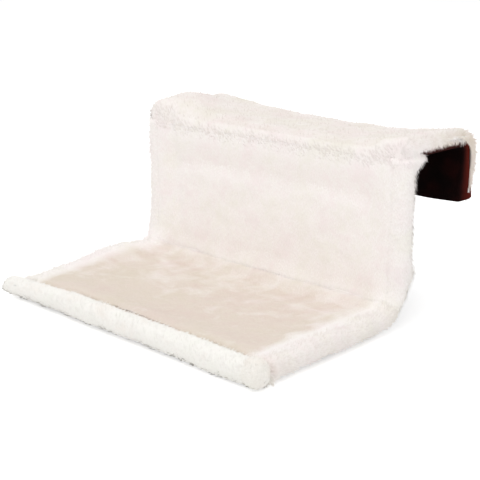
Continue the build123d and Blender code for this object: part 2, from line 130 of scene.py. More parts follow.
y_bend = y_up - corner_bend
z_bend = z_seat + corner_bend
seat_run = y_bend - y_front
seam_run = seat_run + corner_bend * math.pi / 4
back_run = seat_run + corner_bend * math.pi / 2
top_run = back_run + z_lining - z_bend
strap_run = back_run + (strap_low.z + strap_high.z) / 2 - z_bend
skin_radius = roll_radius - pile_depth


def smooth_step(low, high, value):
    """0 below low, 1 above high, and a smooth rise between."""
    share = np.clip((np.asarray(value, float) - low) / (high - low), 0, 1)
    return share * share * (3 - 2 * share)


def hill(value, middle, width):
    """1 at the middle, with a smooth fall on both sides over about that width."""
    return np.exp(-((value - middle) / width) ** 2)


# Meshes


merge_distance = 0.01 * mm


def make_piece(name, points, faces):
    """A new object from points and faces, with faces that point outwards where the mesh is closed."""
    mesh = bpy.data.meshes.new(name)
    mesh.from_pydata([tuple(p) for p in np.asarray(points, float)], [], faces)
    piece = bpy.data.objects.new(name, mesh)
    scene.collection.objects.link(piece)
    return tidy_mesh(piece)


def tidy_mesh(piece):
    """Merges doubled points, turns closed meshes outwards and shades them smooth."""
    bm = bmesh.new()
    bm.from_mesh(piece.data)
    bmesh.ops.remove_doubles(bm, verts=bm.verts, dist=merge_distance)
    bmesh.ops.recalc_face_normals(bm, faces=bm.faces)
    for face in bm.faces:
        face.smooth = True
    bm.to_mesh(piece.data)
    bm.free()
    return piece


def finished(piece):
    """Turns the piece's modifiers into its mesh."""
    graph = bpy.context.evaluated_depsgraph_get()
    mesh = bpy.data.meshes.new_from_object(piece.evaluated_get(graph))
    piece.modifiers.clear()
    old, piece.data = piece.data, mesh
    bpy.data.meshes.remove(old)
    return piece


def quads(rows, columns, wrap):
    """Faces of a grid of points, whose columns join up where wrap is true."""
    faces = []
    for i in range(rows - 1):
        for j in range(columns if wrap else columns - 1):
            k = (j + 1) % columns
            faces.append((i * columns + j, i * columns + k, (i + 1) * columns + k, (i + 1) * columns + j))
    return faces


def closed_tube(name, rings):
    """A closed skin through rings of points, with a pole in the middle of each end."""
    rows, around = rings.shape[:2]
    points = np.vstack([rings.reshape(-1, 3), rings[0].mean(0), rings[-1].mean(0)])
    faces = quads(rows, around, True)
    for pole, start in ((rows * around, 0), (rows * around + 1, (rows - 1) * around)):
        faces += [(pole, start + j, start + (j + 1) % around) for j in range(around)]
    return make_piece(name, points, faces)


def open_sheet(name, rows):
    """An open skin through rows of points."""
    grid = np.array(rows)
    return make_piece(name, grid.reshape(-1, 3), quads(*grid.shape[:2], False))


def positions(mesh):
    """The mesh's points as an array."""
    values = np.empty(len(mesh.vertices) * 3)
    mesh.vertices.foreach_get("co", values)
    return values.reshape(-1, 3)


def set_positions(mesh, points):
    """Moves the mesh's points to these places."""
    mesh.vertices.foreach_set("co", np.asarray(points, np.float32).ravel())
    mesh.update()


def normals(mesh):
    """The mesh's point normals as an array."""
    values = np.empty(len(mesh.vertices) * 3)
    mesh.vertices.foreach_get("normal", values)
    return values.reshape(-1, 3)


def store(mesh, name, values):
    """Stores a number or a vector for each of the mesh's points, over what the attribute held."""
    count = len(mesh.vertices)
    values = np.asarray(values, np.float32)
    kind, key, shape = "FLOAT", "value", count
    if values.ndim == 2:
        kind, key, shape = "FLOAT_VECTOR", "vector", (count, 3)
    attribute = mesh.attributes.get(name) or mesh.attributes.new(name, kind, "POINT")
    attribute.data.foreach_set(key, np.broadcast_to(values, shape).ravel())


def stored_vectors(mesh, name):
    """The vectors that the mesh's points have stored under that name."""
    values = np.empty(len(mesh.vertices) * 3)
    mesh.attributes[name].data.foreach_get("vector", values)
    return values.reshape(-1, 3)


noise_shift = (7.1, 3.7, 5.3)  # how far apart the noises of two neighbouring seeds lie
finer = 2.3  # how many times smaller the second set of lumps is, at half the height


def noise_field(points, size, seed):
    """Smooth noise from about -1 to 1 at each point, with lumps of about that size."""
    shift = Vector([seed * far for far in noise_shift])
    return np.array([noise.noise(Vector(p) / size + shift) for p in points])


def add_lumps(piece, size, height, seed, share=1.0):
    """Raises and sinks the skin in soft lumps, in some places less than in others."""
    points = positions(piece.data)
    field = noise_field(points, size, seed) + 0.5 * noise_field(points, size / finer, seed + 1)
    set_positions(piece.data, points + normals(piece.data) * (field * height * share)[:, None])


def copy_of_node(node, name):
    """A merged copy of a CAD node's mesh."""
    piece = bpy.data.objects.new(name, frame["nodes"][node].data.copy())
    piece.data.materials.clear()
    scene.collection.objects.link(piece)
    return tidy_mesh(piece)


# Materials


def linear(code):
    """The linear colour of an sRGB hex value."""
    parts = [int(code[i:i + 2], 16) / 255 for i in (0, 2, 4)]
    return tuple(p / 12.92 if p <= 0.04045 else ((p + 0.055) / 1.055) ** 2.4 for p in parts) + (1.0,)


def add(tree, kind, inputs=None, stops=(), **settings):
    """Adds a node with its settings, links or values for its inputs, and a ramp's stops, place and colour."""
    made = tree.nodes.new(kind)
    for key, value in settings.items():
        setattr(made, key, value)
    for key, value in (inputs or {}).items():
        if isinstance(value, bpy.types.NodeSocket):
            tree.links.new(value, made.inputs[key])
        else:
            made.inputs[key].default_value = value
    for i, (place, code) in enumerate(stops):
        elements = made.color_ramp.elements
        element = elements[i] if i < len(elements) else elements.new(place)
        element.position, element.color = place, linear(code)
    return made


def new_material(name):
    """A material with an empty tree of nodes."""
    material = bpy.data.materials.new(name)
    material.use_nodes = True
    material.node_tree.nodes.clear()
    return material, material.node_tree


own_side = 2.2  # a blade's own side in its shading, against the skin's normal
warm_tint = "E9E1D7"  # the tint of the painted shade, against the rest of the plush


def plush(name, tones, root):
    """Long pile acrylic plush: matt, with soft patches of tone, and warmer and darker where the attribute
    paints shade.
    """
    material, tree = new_material(name)
    place = add(tree, "ShaderNodeTexCoord").outputs["Object"]
    patches = add(tree, "ShaderNodeTexNoise", {"Vector": place, "Scale": 1 / (46 * mm), "Detail": 2.0})
    streaks = add(tree, "ShaderNodeTexNoise", {"Vector": place, "Scale": 1 / (9 * mm), "Detail": 2.0})
    shade = add(tree, "ShaderNodeMix", {0: 0.35, 2: patches.outputs["Fac"], 3: streaks.outputs["Fac"]},
                data_type="FLOAT")
    tone = add(tree, "ShaderNodeValToRGB", {"Fac": shade.outputs[0]}, tones)
    # Painted shade towards the root, where the fibres would shade each other
    along = add(tree, "ShaderNodeAttribute", attribute_name="along")
    colour = add(tree, "ShaderNodeMix", {
        0: along.outputs["Fac"], 6: linear(root), 7: tone.outputs["Color"]}, data_type="RGBA")
    # Painted shade: the pile is darkened and warmed where the attribute says, in patches and not evenly
    warm_shade = add(tree, "ShaderNodeAttribute", attribute_name="warm_shade")
    worn = add(tree, "ShaderNodeTexNoise", {
        "Vector": place, "Scale": 1 / (30 * mm), "Detail": 2.5, "Distortion": 0.35})
    shade_patches = add(tree, "ShaderNodeMapRange", {
        "Value": worn.outputs["Fac"], "From Min": 0.3, "From Max": 0.7, "To Min": 0.5, "To Max": 1.2})
    warm = add(tree, "ShaderNodeMath", {0: warm_shade.outputs["Fac"], 1: shade_patches.outputs["Result"]},
               operation="MULTIPLY", use_clamp=True)
    warmed = add(tree, "ShaderNodeMix", {0: warm.outputs[0], 6: colour.outputs[2], 7: linear(warm_tint)},
                 data_type="RGBA", blend_type="MULTIPLY")
    # A blade is seen from both sides, so its own side has a part in its shading and neither side goes dark
    skin_up = add(tree, "ShaderNodeAttribute", attribute_name="skin_up")
    blade = add(tree, "ShaderNodeAttribute", attribute_name="blade")
    own_share = add(tree, "ShaderNodeMath", {0: blade.outputs["Fac"], 1: own_side}, operation="MULTIPLY")
    own = add(tree, "ShaderNodeVectorMath", {
        0: add(tree, "ShaderNodeNewGeometry").outputs["True Normal"], "Scale": own_share.outputs[0]},
        operation="SCALE")
    both = add(tree, "ShaderNodeVectorMath", {0: own.outputs[0], 1: skin_up.outputs["Vector"]},
               operation="ADD")
    light_way = add(tree, "ShaderNodeVectorMath", {0: both.outputs[0]}, operation="NORMALIZE")
    # Single fibres are too fine to draw, so the bump shows locks of about a millimetre
    fibres = add(tree, "ShaderNodeTexNoise", {"Vector": place, "Scale": 1 / (1.2 * mm), "Detail": 3.0})
    bump = add(tree, "ShaderNodeBump", {
        "Height": fibres.outputs["Fac"], "Strength": 0.15, "Distance": 0.6 * mm,
        "Normal": light_way.outputs[0]})
    shader = add(tree, "ShaderNodeBsdfPrincipled", {
        "Base Color": warmed.outputs[2], "Roughness": 0.95, "Specular IOR Level": 0.1,
        "Sheen Weight": 0.2, "Sheen Roughness": 0.6, "Normal": bump.outputs["Normal"]})
    add(tree, "ShaderNodeOutputMaterial", {"Surface": shader.outputs[0]})
    return material


def velour():
    """Short pile polyester velour: its own dark burgundy darkened nearly to black as painted shade, with a
    sheen and a painted red highlight on its folds.
    """
    material, tree = new_material("burgundy velour")
    place = add(tree, "ShaderNodeTexCoord").outputs["Object"]
    # Its own dark burgundy, darkened nearly to black as painted shade
    shades = add(tree, "ShaderNodeTexNoise", {"Vector": place, "Scale": 1 / (22 * mm), "Detail": 3.0})
    colour = add(tree, "ShaderNodeValToRGB", {"Fac": shades.outputs["Fac"]},
                 ((0.35, "090202"), (0.5, "120404"), (0.7, "200706")))
    # Painted highlight: a lighter red where the attribute says the nap turns to the light
    lit = add(tree, "ShaderNodeAttribute", attribute_name="lit")
    painted_highlight = add(tree, "ShaderNodeMix", {
        0: lit.outputs["Fac"], 6: colour.outputs["Color"], 7: linear("5C1D15")}, data_type="RGBA")
    nap = add(tree, "ShaderNodeTexNoise", {"Vector": place, "Scale": 1 / (0.9 * mm), "Detail": 2.0})
    bump = add(tree, "ShaderNodeBump", {
        "Height": nap.outputs["Fac"], "Strength": 0.4, "Distance": 0.3 * mm})
    shader = add(tree, "ShaderNodeBsdfPrincipled", {
        "Base Color": painted_highlight.outputs[2], "Roughness": 0.8, "Specular IOR Level": 0.06, "Sheen Weight": 0.2,
        "Sheen Roughness": 0.3, "Sheen Tint": linear("8A2A22"), "Normal": bump.outputs["Normal"]})
    add(tree, "ShaderNodeOutputMaterial", {"Surface": shader.outputs[0]})
    return material


def speckled(name, tones, grain, roughness, metallic=0.0, bump_depth=0.05 * mm):
    """A hard or woven finish: a fine grain between two tones, with a light bump of the same grain."""
    material, tree = new_material(name)
    place = add(tree, "ShaderNodeTexCoord").outputs["Object"]
    grains = add(tree, "ShaderNodeTexNoise", {"Vector": place, "Scale": 1 / grain, "Detail": 3.0})
    colour = add(tree, "ShaderNodeValToRGB", {"Fac": grains.outputs["Fac"]},
                 ((0.35, tones[0]), (0.65, tones[1])))
    bump = add(tree, "ShaderNodeBump", {
        "Height": grains.outputs["Fac"], "Strength": 0.3, "Distance": bump_depth})
    shader = add(tree, "ShaderNodeBsdfPrincipled", {
        "Base Color": colour.outputs["Color"], "Roughness": roughness, "Metallic": metallic,
        "Normal": bump.outputs["Normal"]})
    add(tree, "ShaderNodeOutputMaterial", {"Surface": shader.outputs[0]})
    return material


# Acrylic pile is off-white, a little pinker in some patches, with painted shade at its root
ivory_plush = plush("ivory plush", ((0.36, "F6F4EB"), (0.5, "FDF9F7"), (0.64, "FAEFF0")), "EFE8E3")
# The front roll's pile is a cleaner, less pink white than the rest
white_plush = plush(
    "ivory plush of the front roll", ((0.36, "F8F8F1"), (0.5, "FCFAF6"), (0.64, "FAF3EC")), "EDE9E2")
burgundy_velour = velour()
finishes = {
    # Powder coat leaves a fine orange peel of about a millimetre
    "painted_steel": speckled("pale grey powder coat", ("C2C2BF", "CACAC7"), 1.1 * mm, 0.5),
    # Bright zinc plating is faintly mottled
    "zinc_steel": speckled("bright zinc plate", ("B4B8BA", "CBCED0"), 2.5 * mm, 0.32, 1.0),
    # Moulded polyamide has a fine spark texture
    "black_plastic": speckled("black moulded polyamide", ("141414", "1E1E1E"), 0.6 * mm, 0.55),
    # Polyester wadding is a loose fleece of thick and thin places
    "wadding": speckled("polyester wadding", ("E4E4E0", "F4F4F2"), 5 * mm, 0.95, bump_depth=1.5 * mm),
    # Woven tape, whose hooks are too fine to draw one by one
    "closing_tape": speckled(
        "burgundy closing tape", ("1C0A0A", "331314"), 1.4 * mm, 0.9, bump_depth=0.5 * mm),
}


# Pile


blade_points = 3
blade_width = 1.1 * mm  # a lock of fibres, because single ones are too fine to draw
shortest_share = 0.55  # of the longest blade's length
blade_roll = 0.3  # radians that a blade may turn about its length
stray_seed = 77  # draws which blades are strays
stray_stand = 0.7  # how much more a stray blade stands up than the rest
pile_gap = 0.2 * mm  # the lowest that the pile comes to the floor
swirl_size = 22 * mm
swirl_seeds = 11  # between the seeds of the swirls along X, Y and Z
shy_comb = 0.05  # where less of the comb than this lies along the skin, the blades stand up
bare_facing, full_facing = -0.8, -0.4  # no pile grows where the normal's upward share is under the first
lowest_shade = -0.2  # the least upward share that a normal for the light has
blade_relief = 0.25  # share of a blade's own shape in its shading
skin_tone = 0.9  # the skin's place between the pile's root colour, which is painted shade, and its tip colour
cell_corners = ((0.2, 0.2), (0.8, 0.2), (0.5, 0.8))  # a blade in its cell of the bake map, the tip last


def pile_tree():
    """Geometry nodes that grow flat blades of pile at random points of a skin, leaning as the nap lies."""
    tree = bpy.data.node_groups.new("grow pile", "GeometryNodeTree")
    face = tree.interface
    face.new_socket("Geometry", in_out="INPUT", socket_type="NodeSocketGeometry")
    for name in ("Density", "Shortest", "Longest", "Width", "Stand", "Spread", "Strays"):
        face.new_socket(name, in_out="INPUT", socket_type="NodeSocketFloat")
    face.new_socket("Seed", in_out="INPUT", socket_type="NodeSocketInt")
    face.new_socket("Finish", in_out="INPUT", socket_type="NodeSocketMaterial")
    face.new_socket("Geometry", in_out="OUTPUT", socket_type="NodeSocketGeometry")
    given = add(tree, "NodeGroupInput").outputs
    grows = add(tree, "GeometryNodeInputNamedAttribute", {"Name": "pile"}, data_type="FLOAT")
    density = add(tree, "ShaderNodeMath", {0: grows.outputs["Attribute"], 1: given["Density"]},
                  operation="MULTIPLY")
    spots = add(tree, "GeometryNodeDistributePointsOnFaces", {
        "Mesh": given["Geometry"], "Density": density.outputs[0], "Seed": given["Seed"]})
    nap = add(tree, "GeometryNodeInputNamedAttribute", {"Name": "nap"}, data_type="FLOAT_VECTOR")
    chance = add(tree, "FunctionNodeRandomValue", {"Seed": stray_seed}, data_type="FLOAT")
    loose = add(tree, "GeometryNodeInputNamedAttribute", {"Name": "loose"}, data_type="FLOAT")
    share = add(tree, "ShaderNodeMath", {0: loose.outputs["Attribute"], 1: given["Strays"]},
                operation="MULTIPLY")
    strays = add(tree, "ShaderNodeMath", {0: chance.outputs[1], 1: share.outputs[0]}, operation="LESS_THAN")
    stand = add(tree, "ShaderNodeMath", {0: strays.outputs[0], 1: stray_stand, 2: given["Stand"]},
                operation="MULTIPLY_ADD")
    upright = add(tree, "ShaderNodeVectorMath", {0: spots.outputs["Normal"], "Scale": stand.outputs[0]},
                  operation="SCALE")
    stray = add(tree, "FunctionNodeRandomValue", {
        "Min": (-1, -1, -1), "Max": (1, 1, 1), "Seed": given["Seed"]}, data_type="FLOAT_VECTOR")
    strayed = add(tree, "ShaderNodeVectorMath", {0: stray.outputs["Value"], "Scale": given["Spread"]},
                  operation="SCALE")
    leaning = add(tree, "ShaderNodeVectorMath", {0: upright.outputs[0], 1: nap.outputs["Attribute"]})
    way = add(tree, "ShaderNodeVectorMath", {0: leaning.outputs[0], 1: strayed.outputs[0]})
    lean = add(tree, "FunctionNodeAlignRotationToVector", {"Vector": way.outputs[0]}, axis="Z")
    flat = add(tree, "FunctionNodeAlignRotationToVector", {
        "Rotation": lean.outputs["Rotation"], "Vector": spots.outputs["Normal"]}, axis="Y", pivot_axis="Z")
    roll = add(tree, "FunctionNodeRandomValue", {2: -blade_roll, 3: blade_roll, "Seed": given["Seed"]},
               data_type="FLOAT")
    rolled = add(tree, "FunctionNodeAxisAngleToRotation", {"Axis": (0, 0, 1), "Angle": roll.outputs[1]})
    turn = add(tree, "FunctionNodeRotateRotation", {
        "Rotation": flat.outputs["Rotation"], "Rotate By": rolled.outputs["Rotation"]},
        rotation_space="LOCAL")
    length = add(tree, "FunctionNodeRandomValue", {
        2: given["Shortest"], 3: given["Longest"], "Seed": given["Seed"]}, data_type="FLOAT")
    reach = add(tree, "GeometryNodeInputNamedAttribute", {"Name": "reach"}, data_type="FLOAT")
    tall = add(tree, "ShaderNodeMath", {0: length.outputs[1], 1: reach.outputs["Attribute"]},
               operation="MULTIPLY")
    wider = add(tree, "ShaderNodeMath", {0: strays.outputs[0], 1: given["Width"], 2: given["Width"]},
                operation="MULTIPLY_ADD")
    size = add(tree, "ShaderNodeCombineXYZ", {
        "X": wider.outputs[0], "Y": wider.outputs[0], "Z": tall.outputs[0]})
    # A triangle of radius 1 becomes a blade that is 1 wide at its foot and 1 tall
    triangle = add(tree, "GeometryNodeMeshCircle", {"Vertices": blade_points, "Radius": 1.0},
                   fill_type="NGON")
    place = add(tree, "ShaderNodeSeparateXYZ", {0: add(tree, "GeometryNodeInputPosition").outputs[0]})
    across = add(tree, "ShaderNodeMath", {0: place.outputs["Y"], 1: 1 / math.sqrt(3)}, operation="MULTIPLY")
    height = add(tree, "ShaderNodeMath", {0: place.outputs["X"], 1: 2 / 3, 2: 1 / 3},
                 operation="MULTIPLY_ADD")
    upright_place = add(tree, "ShaderNodeCombineXYZ", {"X": across.outputs[0], "Z": height.outputs[0]})
    blade = add(tree, "GeometryNodeSetPosition", {
        "Geometry": triangle.outputs["Mesh"], "Position": upright_place.outputs[0]})
    level = add(tree, "ShaderNodeSeparateXYZ", {0: add(tree, "GeometryNodeInputPosition").outputs[0]})
    marked = add(tree, "GeometryNodeStoreNamedAttribute", {
        "Geometry": blade.outputs["Geometry"], "Name": "along", "Value": level.outputs["Z"]},
        data_type="FLOAT", domain="POINT")
    told = add(tree, "GeometryNodeStoreNamedAttribute", {
        "Geometry": marked.outputs["Geometry"], "Name": "blade", "Value": 1.0},
        data_type="FLOAT", domain="POINT")
    placed = add(tree, "GeometryNodeInstanceOnPoints", {
        "Points": spots.outputs["Points"], "Instance": told.outputs["Geometry"],
        "Rotation": turn.outputs["Rotation"], "Scale": size.outputs[0]})
    real = add(tree, "GeometryNodeRealizeInstances", {"Geometry": placed.outputs[0]})
    smooth = add(tree, "GeometryNodeSetShadeSmooth", {"Geometry": real.outputs[0]})
    coated = add(tree, "GeometryNodeSetMaterial", {
        "Geometry": smooth.outputs[0], "Material": given["Finish"]})
    add(tree, "NodeGroupOutput", {"Geometry": coated.outputs[0]})
    return tree


grow_pile = pile_tree()


def set_input(modifier, name, value):
    """Sets a modifier's input by its socket's identifier."""
    sockets = modifier.node_group.interface.items_tree
    found = next(s for s in sockets if s.item_type == "SOCKET" and s.in_out == "INPUT" and s.name == name)
    modifier[found.identifier] = value


def mark_skin(skin, grows, comb, swirl, seed, reach=1.0, warm_shade=0.0, shade=None, loose=1.0):
    """Stores where pile grows on a skin, how long and loose it is, its painted shade, and its lie along comb,
    with swirls.

    shade gives other normals for the light, such as ones that don't show the seams.
    """
    mesh = skin.data
    points, ups = positions(mesh), normals(mesh)
    shade = (ups if shade is None else shade).copy()
    # Light also comes through the pile from above, so its underside is not dark
    shade[:, 2] = np.maximum(shade[:, 2], lowest_shade)
    shade /= np.linalg.norm(shade, axis=1)[:, None]
    combed = np.broadcast_to(np.asarray(comb, float), points.shape).copy()
    for axis in range(3):
        combed[:, axis] += swirl * noise_field(points, swirl_size, seed + swirl_seeds * axis)
    combed -= ups * (combed * ups).sum(1)[:, None]
    combed /= np.maximum(np.linalg.norm(combed, axis=1), shy_comb)[:, None]
    store(mesh, "nap", combed)
    store(mesh, "skin_up", shade)
    store(mesh, "pile", grows * smooth_step(bare_facing, full_facing, ups[:, 2]))
    store(mesh, "reach", reach)
    store(mesh, "warm_shade", warm_shade)
    store(mesh, "along", skin_tone)
    store(mesh, "loose", loose)


def shade_like_skin(mesh):
    """Gives each blade mostly the skin's own normal, so that the pile takes the light as one soft surface."""
    soft = stored_vectors(mesh, "skin_up") + blade_relief * normals(mesh)
    soft /= np.linalg.norm(soft, axis=1)[:, None]
    store(mesh, "skin_up", soft)
    mesh.normals_split_custom_set_from_vertices(soft.tolist())


def bake_cells(mesh):
    """A bake map named OFBake, where each blade has a small cell of its own."""
    blades = len(mesh.vertices) // blade_points
    across = math.ceil(math.sqrt(blades))
    corners = np.empty(len(mesh.loops), np.int32)
    mesh.loops.foreach_get("vertex_index", corners)
    cell, corner = corners // blade_points, corners % blade_points
    where = np.stack([cell % across, cell // across], 1).astype(float)
    tip = corner == corner_of_tip(mesh)
    inside = np.array(cell_corners)[np.where(tip, 2, corner % 2)]
    layer = mesh.uv_layers.new(name="OFBake")
    layer.data.foreach_set("uv", ((where + inside) / across).astype(np.float32).ravel())


def corner_of_tip(mesh):
    """Which of a blade's points is its tip."""
    marks = np.empty(len(mesh.vertices))
    mesh.attributes["along"].data.foreach_get("value", marks)
    return int(np.argmax(marks[:blade_points]))


def grow(skin, name, count, longest, stand, spread, strays, seed, finish):
    """The pile on a skin, as a mesh of its own with about that many blades."""
    mesh = skin.data
    area = sum(p.area * mesh.attributes["pile"].data[p.vertices[0]].value for p in mesh.polygons)
    piece = bpy.data.objects.new(name, mesh.copy())
    scene.collection.objects.link(piece)
    modifier = piece.modifiers.new("pile", "NODES")
    modifier.node_group = grow_pile
    values = {"Density": count / area, "Shortest": longest * shortest_share, "Longest": longest,
              "Width": blade_width, "Stand": stand, "Spread": spread,
              "Strays": strays, "Seed": seed, "Finish": finish}
    for key, value in values.items():
        set_input(modifier, key, value)
    finished(piece)
    points = positions(piece.data)
    points[:, 2] = np.maximum(points[:, 2], pile_gap)
    set_positions(piece.data, points)
    shade_like_skin(piece.data)
    bake_cells(piece.data)
    # Pale fibres let the light through, so they don't shade each other
    piece.visible_shadow = piece.visible_diffuse = False
    return piece


# Rolls


def along_tube(run):
    """A side tube's axis at a run from the front bar: Y, Z, and the way to the lying side in Y and Z."""
    run = np.asarray(run, float)
    turn = np.clip((run - seat_run) / corner_bend, 0, math.pi / 2)
    y = y_front + np.minimum(run, seat_run) + corner_bend * np.sin(turn)
    z = z_seat + corner_bend * (1 - np.cos(turn)) + np.maximum(run - back_run, 0)
    return y, z, -np.sin(turn), np.cos(turn)


def tube_points(runs, turns, x, radius):
    """Points on a tube round a side tube's axis, for arrays of runs and of turns about the axis."""
    y, z, up_y, up_z = along_tube(runs)
    up = radius * np.sin(turns)
    return np.stack([x + radius * np.cos(turns), y + up * up_y, z + up * up_z], -1)


# How far the rolls stand out from the skin's radius in places
seam_pinch, pinch_width = 2.2 * mm, 9 * mm  # drawn in at the corner's seam
strap_bulge, strap_width = 2.5 * mm, 16 * mm  # out over the strap's ends and bolts
right_worn, worn_runs = 4.5 * mm, (5 * mm, 30 * mm)  # flat underneath, from a little behind the front roll
right_slack, slack_width = 5 * mm, 30 * mm  # sunk under the right corner
right_swell, swell_runs = 1.2 * mm, (seam_run + 10 * mm, back_run + 30 * mm)
left_seat_swell, left_seat_run, left_seat_width = 9 * mm, seat_run - 45 * mm, 55 * mm
left_front_swell, left_front_runs = 0.5 * mm, (60 * mm, 0)
left_corner_swell, left_corner_run, left_corner_width = 4.5 * mm, seam_run + 12 * mm, 32 * mm
left_back_swell = 3 * mm


def fullness(side, runs, turns):
    """How far a side's rolls stand over the skin's radius: full on the left, and flat under the right."""
    up, out = np.sin(turns), np.cos(turns)
    over_strap = hill(runs, strap_run, strap_width) * np.clip(0.4 - up, 0, 1)
    pinched = hill(runs, seam_run, pinch_width) * np.clip(side * out + 0.2, 0, 1)
    both = strap_bulge * over_strap - seam_pinch * pinched
    if side > 0:
        worn = np.clip(-up, 0, 1) * smooth_step(*worn_runs, runs) * (1 - over_strap)
        slack = hill(runs, seam_run, slack_width) * np.clip(0.4 * out - up, 0, 1)
        swollen = np.clip(out, 0, 1) * smooth_step(*swell_runs, runs)
        return both - right_worn * worn - right_slack * slack + right_swell * swollen
    upper, outer = np.clip(up + 0.2, 0, 1), np.clip(-out, 0, 1)
    seat = left_seat_swell * hill(runs, left_seat_run, left_seat_width)
    seat = seat + left_front_swell * smooth_step(*left_front_runs, runs)
    corner = left_corner_swell * hill(runs, left_corner_run, left_corner_width)
    back = left_back_swell * smooth_step(seam_run, back_run, runs)
    return both + seat * upper + corner * np.maximum(upper, outer) + back * outer


droop_from, droop_to = -110 * mm, -215 * mm  # X over which the left front corner hangs more and more
droop_run = 90 * mm  # how far behind the front roll it ends


def drooped(points):
    """The points with the bed's left front corner hanging a little, as slack plush does."""
    x, y, z = points[..., 0], points[..., 1], points[..., 2]
    share = smooth_step(droop_from, droop_to, x) * smooth_step(y_front + droop_run, y_front, y)
    lower = points.copy()
    lower[..., 2] -= corner_droop * share * smooth_step(z_seat - roll_radius, z_seat + roll_radius, z)
    return lower


front_sides, roll_sides = 40, 36
end_crown = ((1 * mm, 1 * mm), (0.6 * mm, 2.2 * mm))  # how far an end stands out, and at which radius


def front_roll_skin():
    """Straight roll across the front, with rounded rims and full ends."""
    turns = np.arange(front_sides) * 2 * math.pi / front_sides
    end, left_end = roll_half - pile_depth, roll_half + left_stretch
    arc = [math.radians(a) for a in (0, 22, 45, 68, 90)]
    rim = [(end - roll_end_round + roll_end_round * math.cos(a),
            skin_radius - roll_end_round + roll_end_round * math.sin(a)) for a in arc]
    face = [(end + stands, radius) for stands, radius in end_crown]
    straight = np.arange(end - roll_end_round - grid_step, -(left_end - roll_end_round), -grid_step)
    profile = face + rim + [(x, skin_radius) for x in straight]
    profile += [(end - left_end - x, r) for x, r in (face + rim)[::-1]]
    rings = np.array([[(x, y_front + r * math.cos(t), z_seat + r * math.sin(t)) for t in turns]
                      for x, r in profile])
    return closed_tube("front_roll_skin", rings)


def seat_roll_skin(side, name):
    """Roll from the front roll, whose round it meets, to the seam in the corner."""
    turns = np.arange(roll_sides) * 2 * math.pi / roll_sides
    meets = np.sqrt(roll_radius ** 2 - (skin_radius * np.sin(turns)) ** 2)
    rows = int((seam_run - roll_radius) / grid_step)
    shares = np.linspace(0, 1, rows)[:, None]
    runs = meets + shares * (seam_run - seam_gap - meets)
    turns = np.broadcast_to(turns, runs.shape)
    rings = tube_points(runs, turns, side * side_x, skin_radius + fullness(side, runs, turns))
    return closed_tube(name, rings)


into_hook = 4 * mm  # how far a back roll runs up inside the hook's skin


def back_roll_skin(side, name):
    """Roll from the seam in the corner up into the hook, which it meets in a wide arch at the back."""
    turns = np.arange(roll_sides) * 2 * math.pi / roll_sides
    rows = int((top_run - seam_run) / grid_step)
    runs = np.linspace(seam_run + seam_gap, top_run + into_hook, rows)[:, None]
    runs = np.broadcast_to(runs, (rows, roll_sides))
    turns = np.broadcast_to(turns, runs.shape)
    rings = tube_points(runs, turns, side * side_x, skin_radius + fullness(side, runs, turns))
    rise = np.clip(rings[..., 2] - (z_lining - arch_round), 0, arch_round * round_end)
    flare = arch_round - np.sqrt(arch_round ** 2 - rise ** 2)
    rings[..., 1] += flare * np.clip(-np.sin(turns), 0, 1)
    return closed_tube(name, rings)


# Padded seat and backrest


lying_way = np.array((0, -1, 1)) / math.sqrt(2)  # out of the seat and the backrest alike
least_lying = 0.25  # share of a normal along it, from which a point is on the lying side
groove_x, groove_lean = -163 * mm, 0.1  # where the crease starts, and how far it runs out as it rises
groove_wave, groove_wave_size = 2.5 * mm, 14 * mm
groove_width = 5 * mm  # of the crease
groove_foot = (z_bend + 5 * mm, z_bend + 35 * mm)
groove_head = (z_top, z_top - 30 * mm)


def groove(x, z):
    """Depth of the soft crease that runs down the backrest beside the left roll."""
    middle = groove_x - groove_lean * (z - z_bend) + groove_wave * np.sin(z / groove_wave_size)
    deep = smooth_step(*groove_foot, z) * smooth_step(*groove_head, z)
    return groove_depth * deep * hill(x, middle, groove_width)


def over_axis(points):
    """Each point's run and height over the side tubes' axes, and the ways along and up there."""
    y, z = points[:, 1] - y_bend, points[:, 2] - z_bend
    turn = np.where(y < 0, 0, np.where(z > 0, math.pi / 2, np.arctan2(y, -z)))
    in_bend = corner_bend - np.hypot(y, z)
    height = np.where(y < 0, points[:, 2] - z_seat, np.where(z > 0, y_up - points[:, 1], in_bend))
    run = seat_run + corner_bend * turn + np.minimum(y, 0) + np.maximum(z, 0) * (y >= 0)
    along = np.stack([0 * y, np.cos(turn), np.sin(turn)], 1)
    up = np.stack([0 * y, -np.sin(turn), np.cos(turn)], 1)
    return run, height, along, up


def side_height(x, runs):
    """Height of the plush over a side roll: level inside its axis, and round outside."""
    radius = skin_radius + roll_cover + (x < 0) * fullness(-1, runs, np.full(len(x), math.pi / 2))
    beyond = np.maximum(np.abs(x) - side_x, 0)
    return np.sqrt(np.maximum(radius ** 2 - beyond ** 2, 0))


def lying_side(mesh):
    """Which of a panel's points are on the side that is lain on."""
    return normals(mesh) @ lying_way > least_lying


# Where one form of the panels passes into the next, from and to
corner_fade = (34 * mm, 8 * mm)  # distance from the corner's seam
roll_fade = (side_x - 46 * mm, side_x - 6 * mm)
front_rise = (y_front + 62 * mm, y_front + 20 * mm)
front_fade = (y_front + 30 * mm, y_front + 16 * mm)
wall_fade = (z_lining - 56 * mm, z_lining - 12 * mm)
wall_head = (z_lining - 10 * mm, z_lining + 1 * mm)
wall_out, wall_in = 1.6 * mm, 3.2 * mm  # how far the backrest stands out under the hook, and then steps in
front_wave, wave_size, wave_seed = 1.2 * mm, 24 * mm, 5


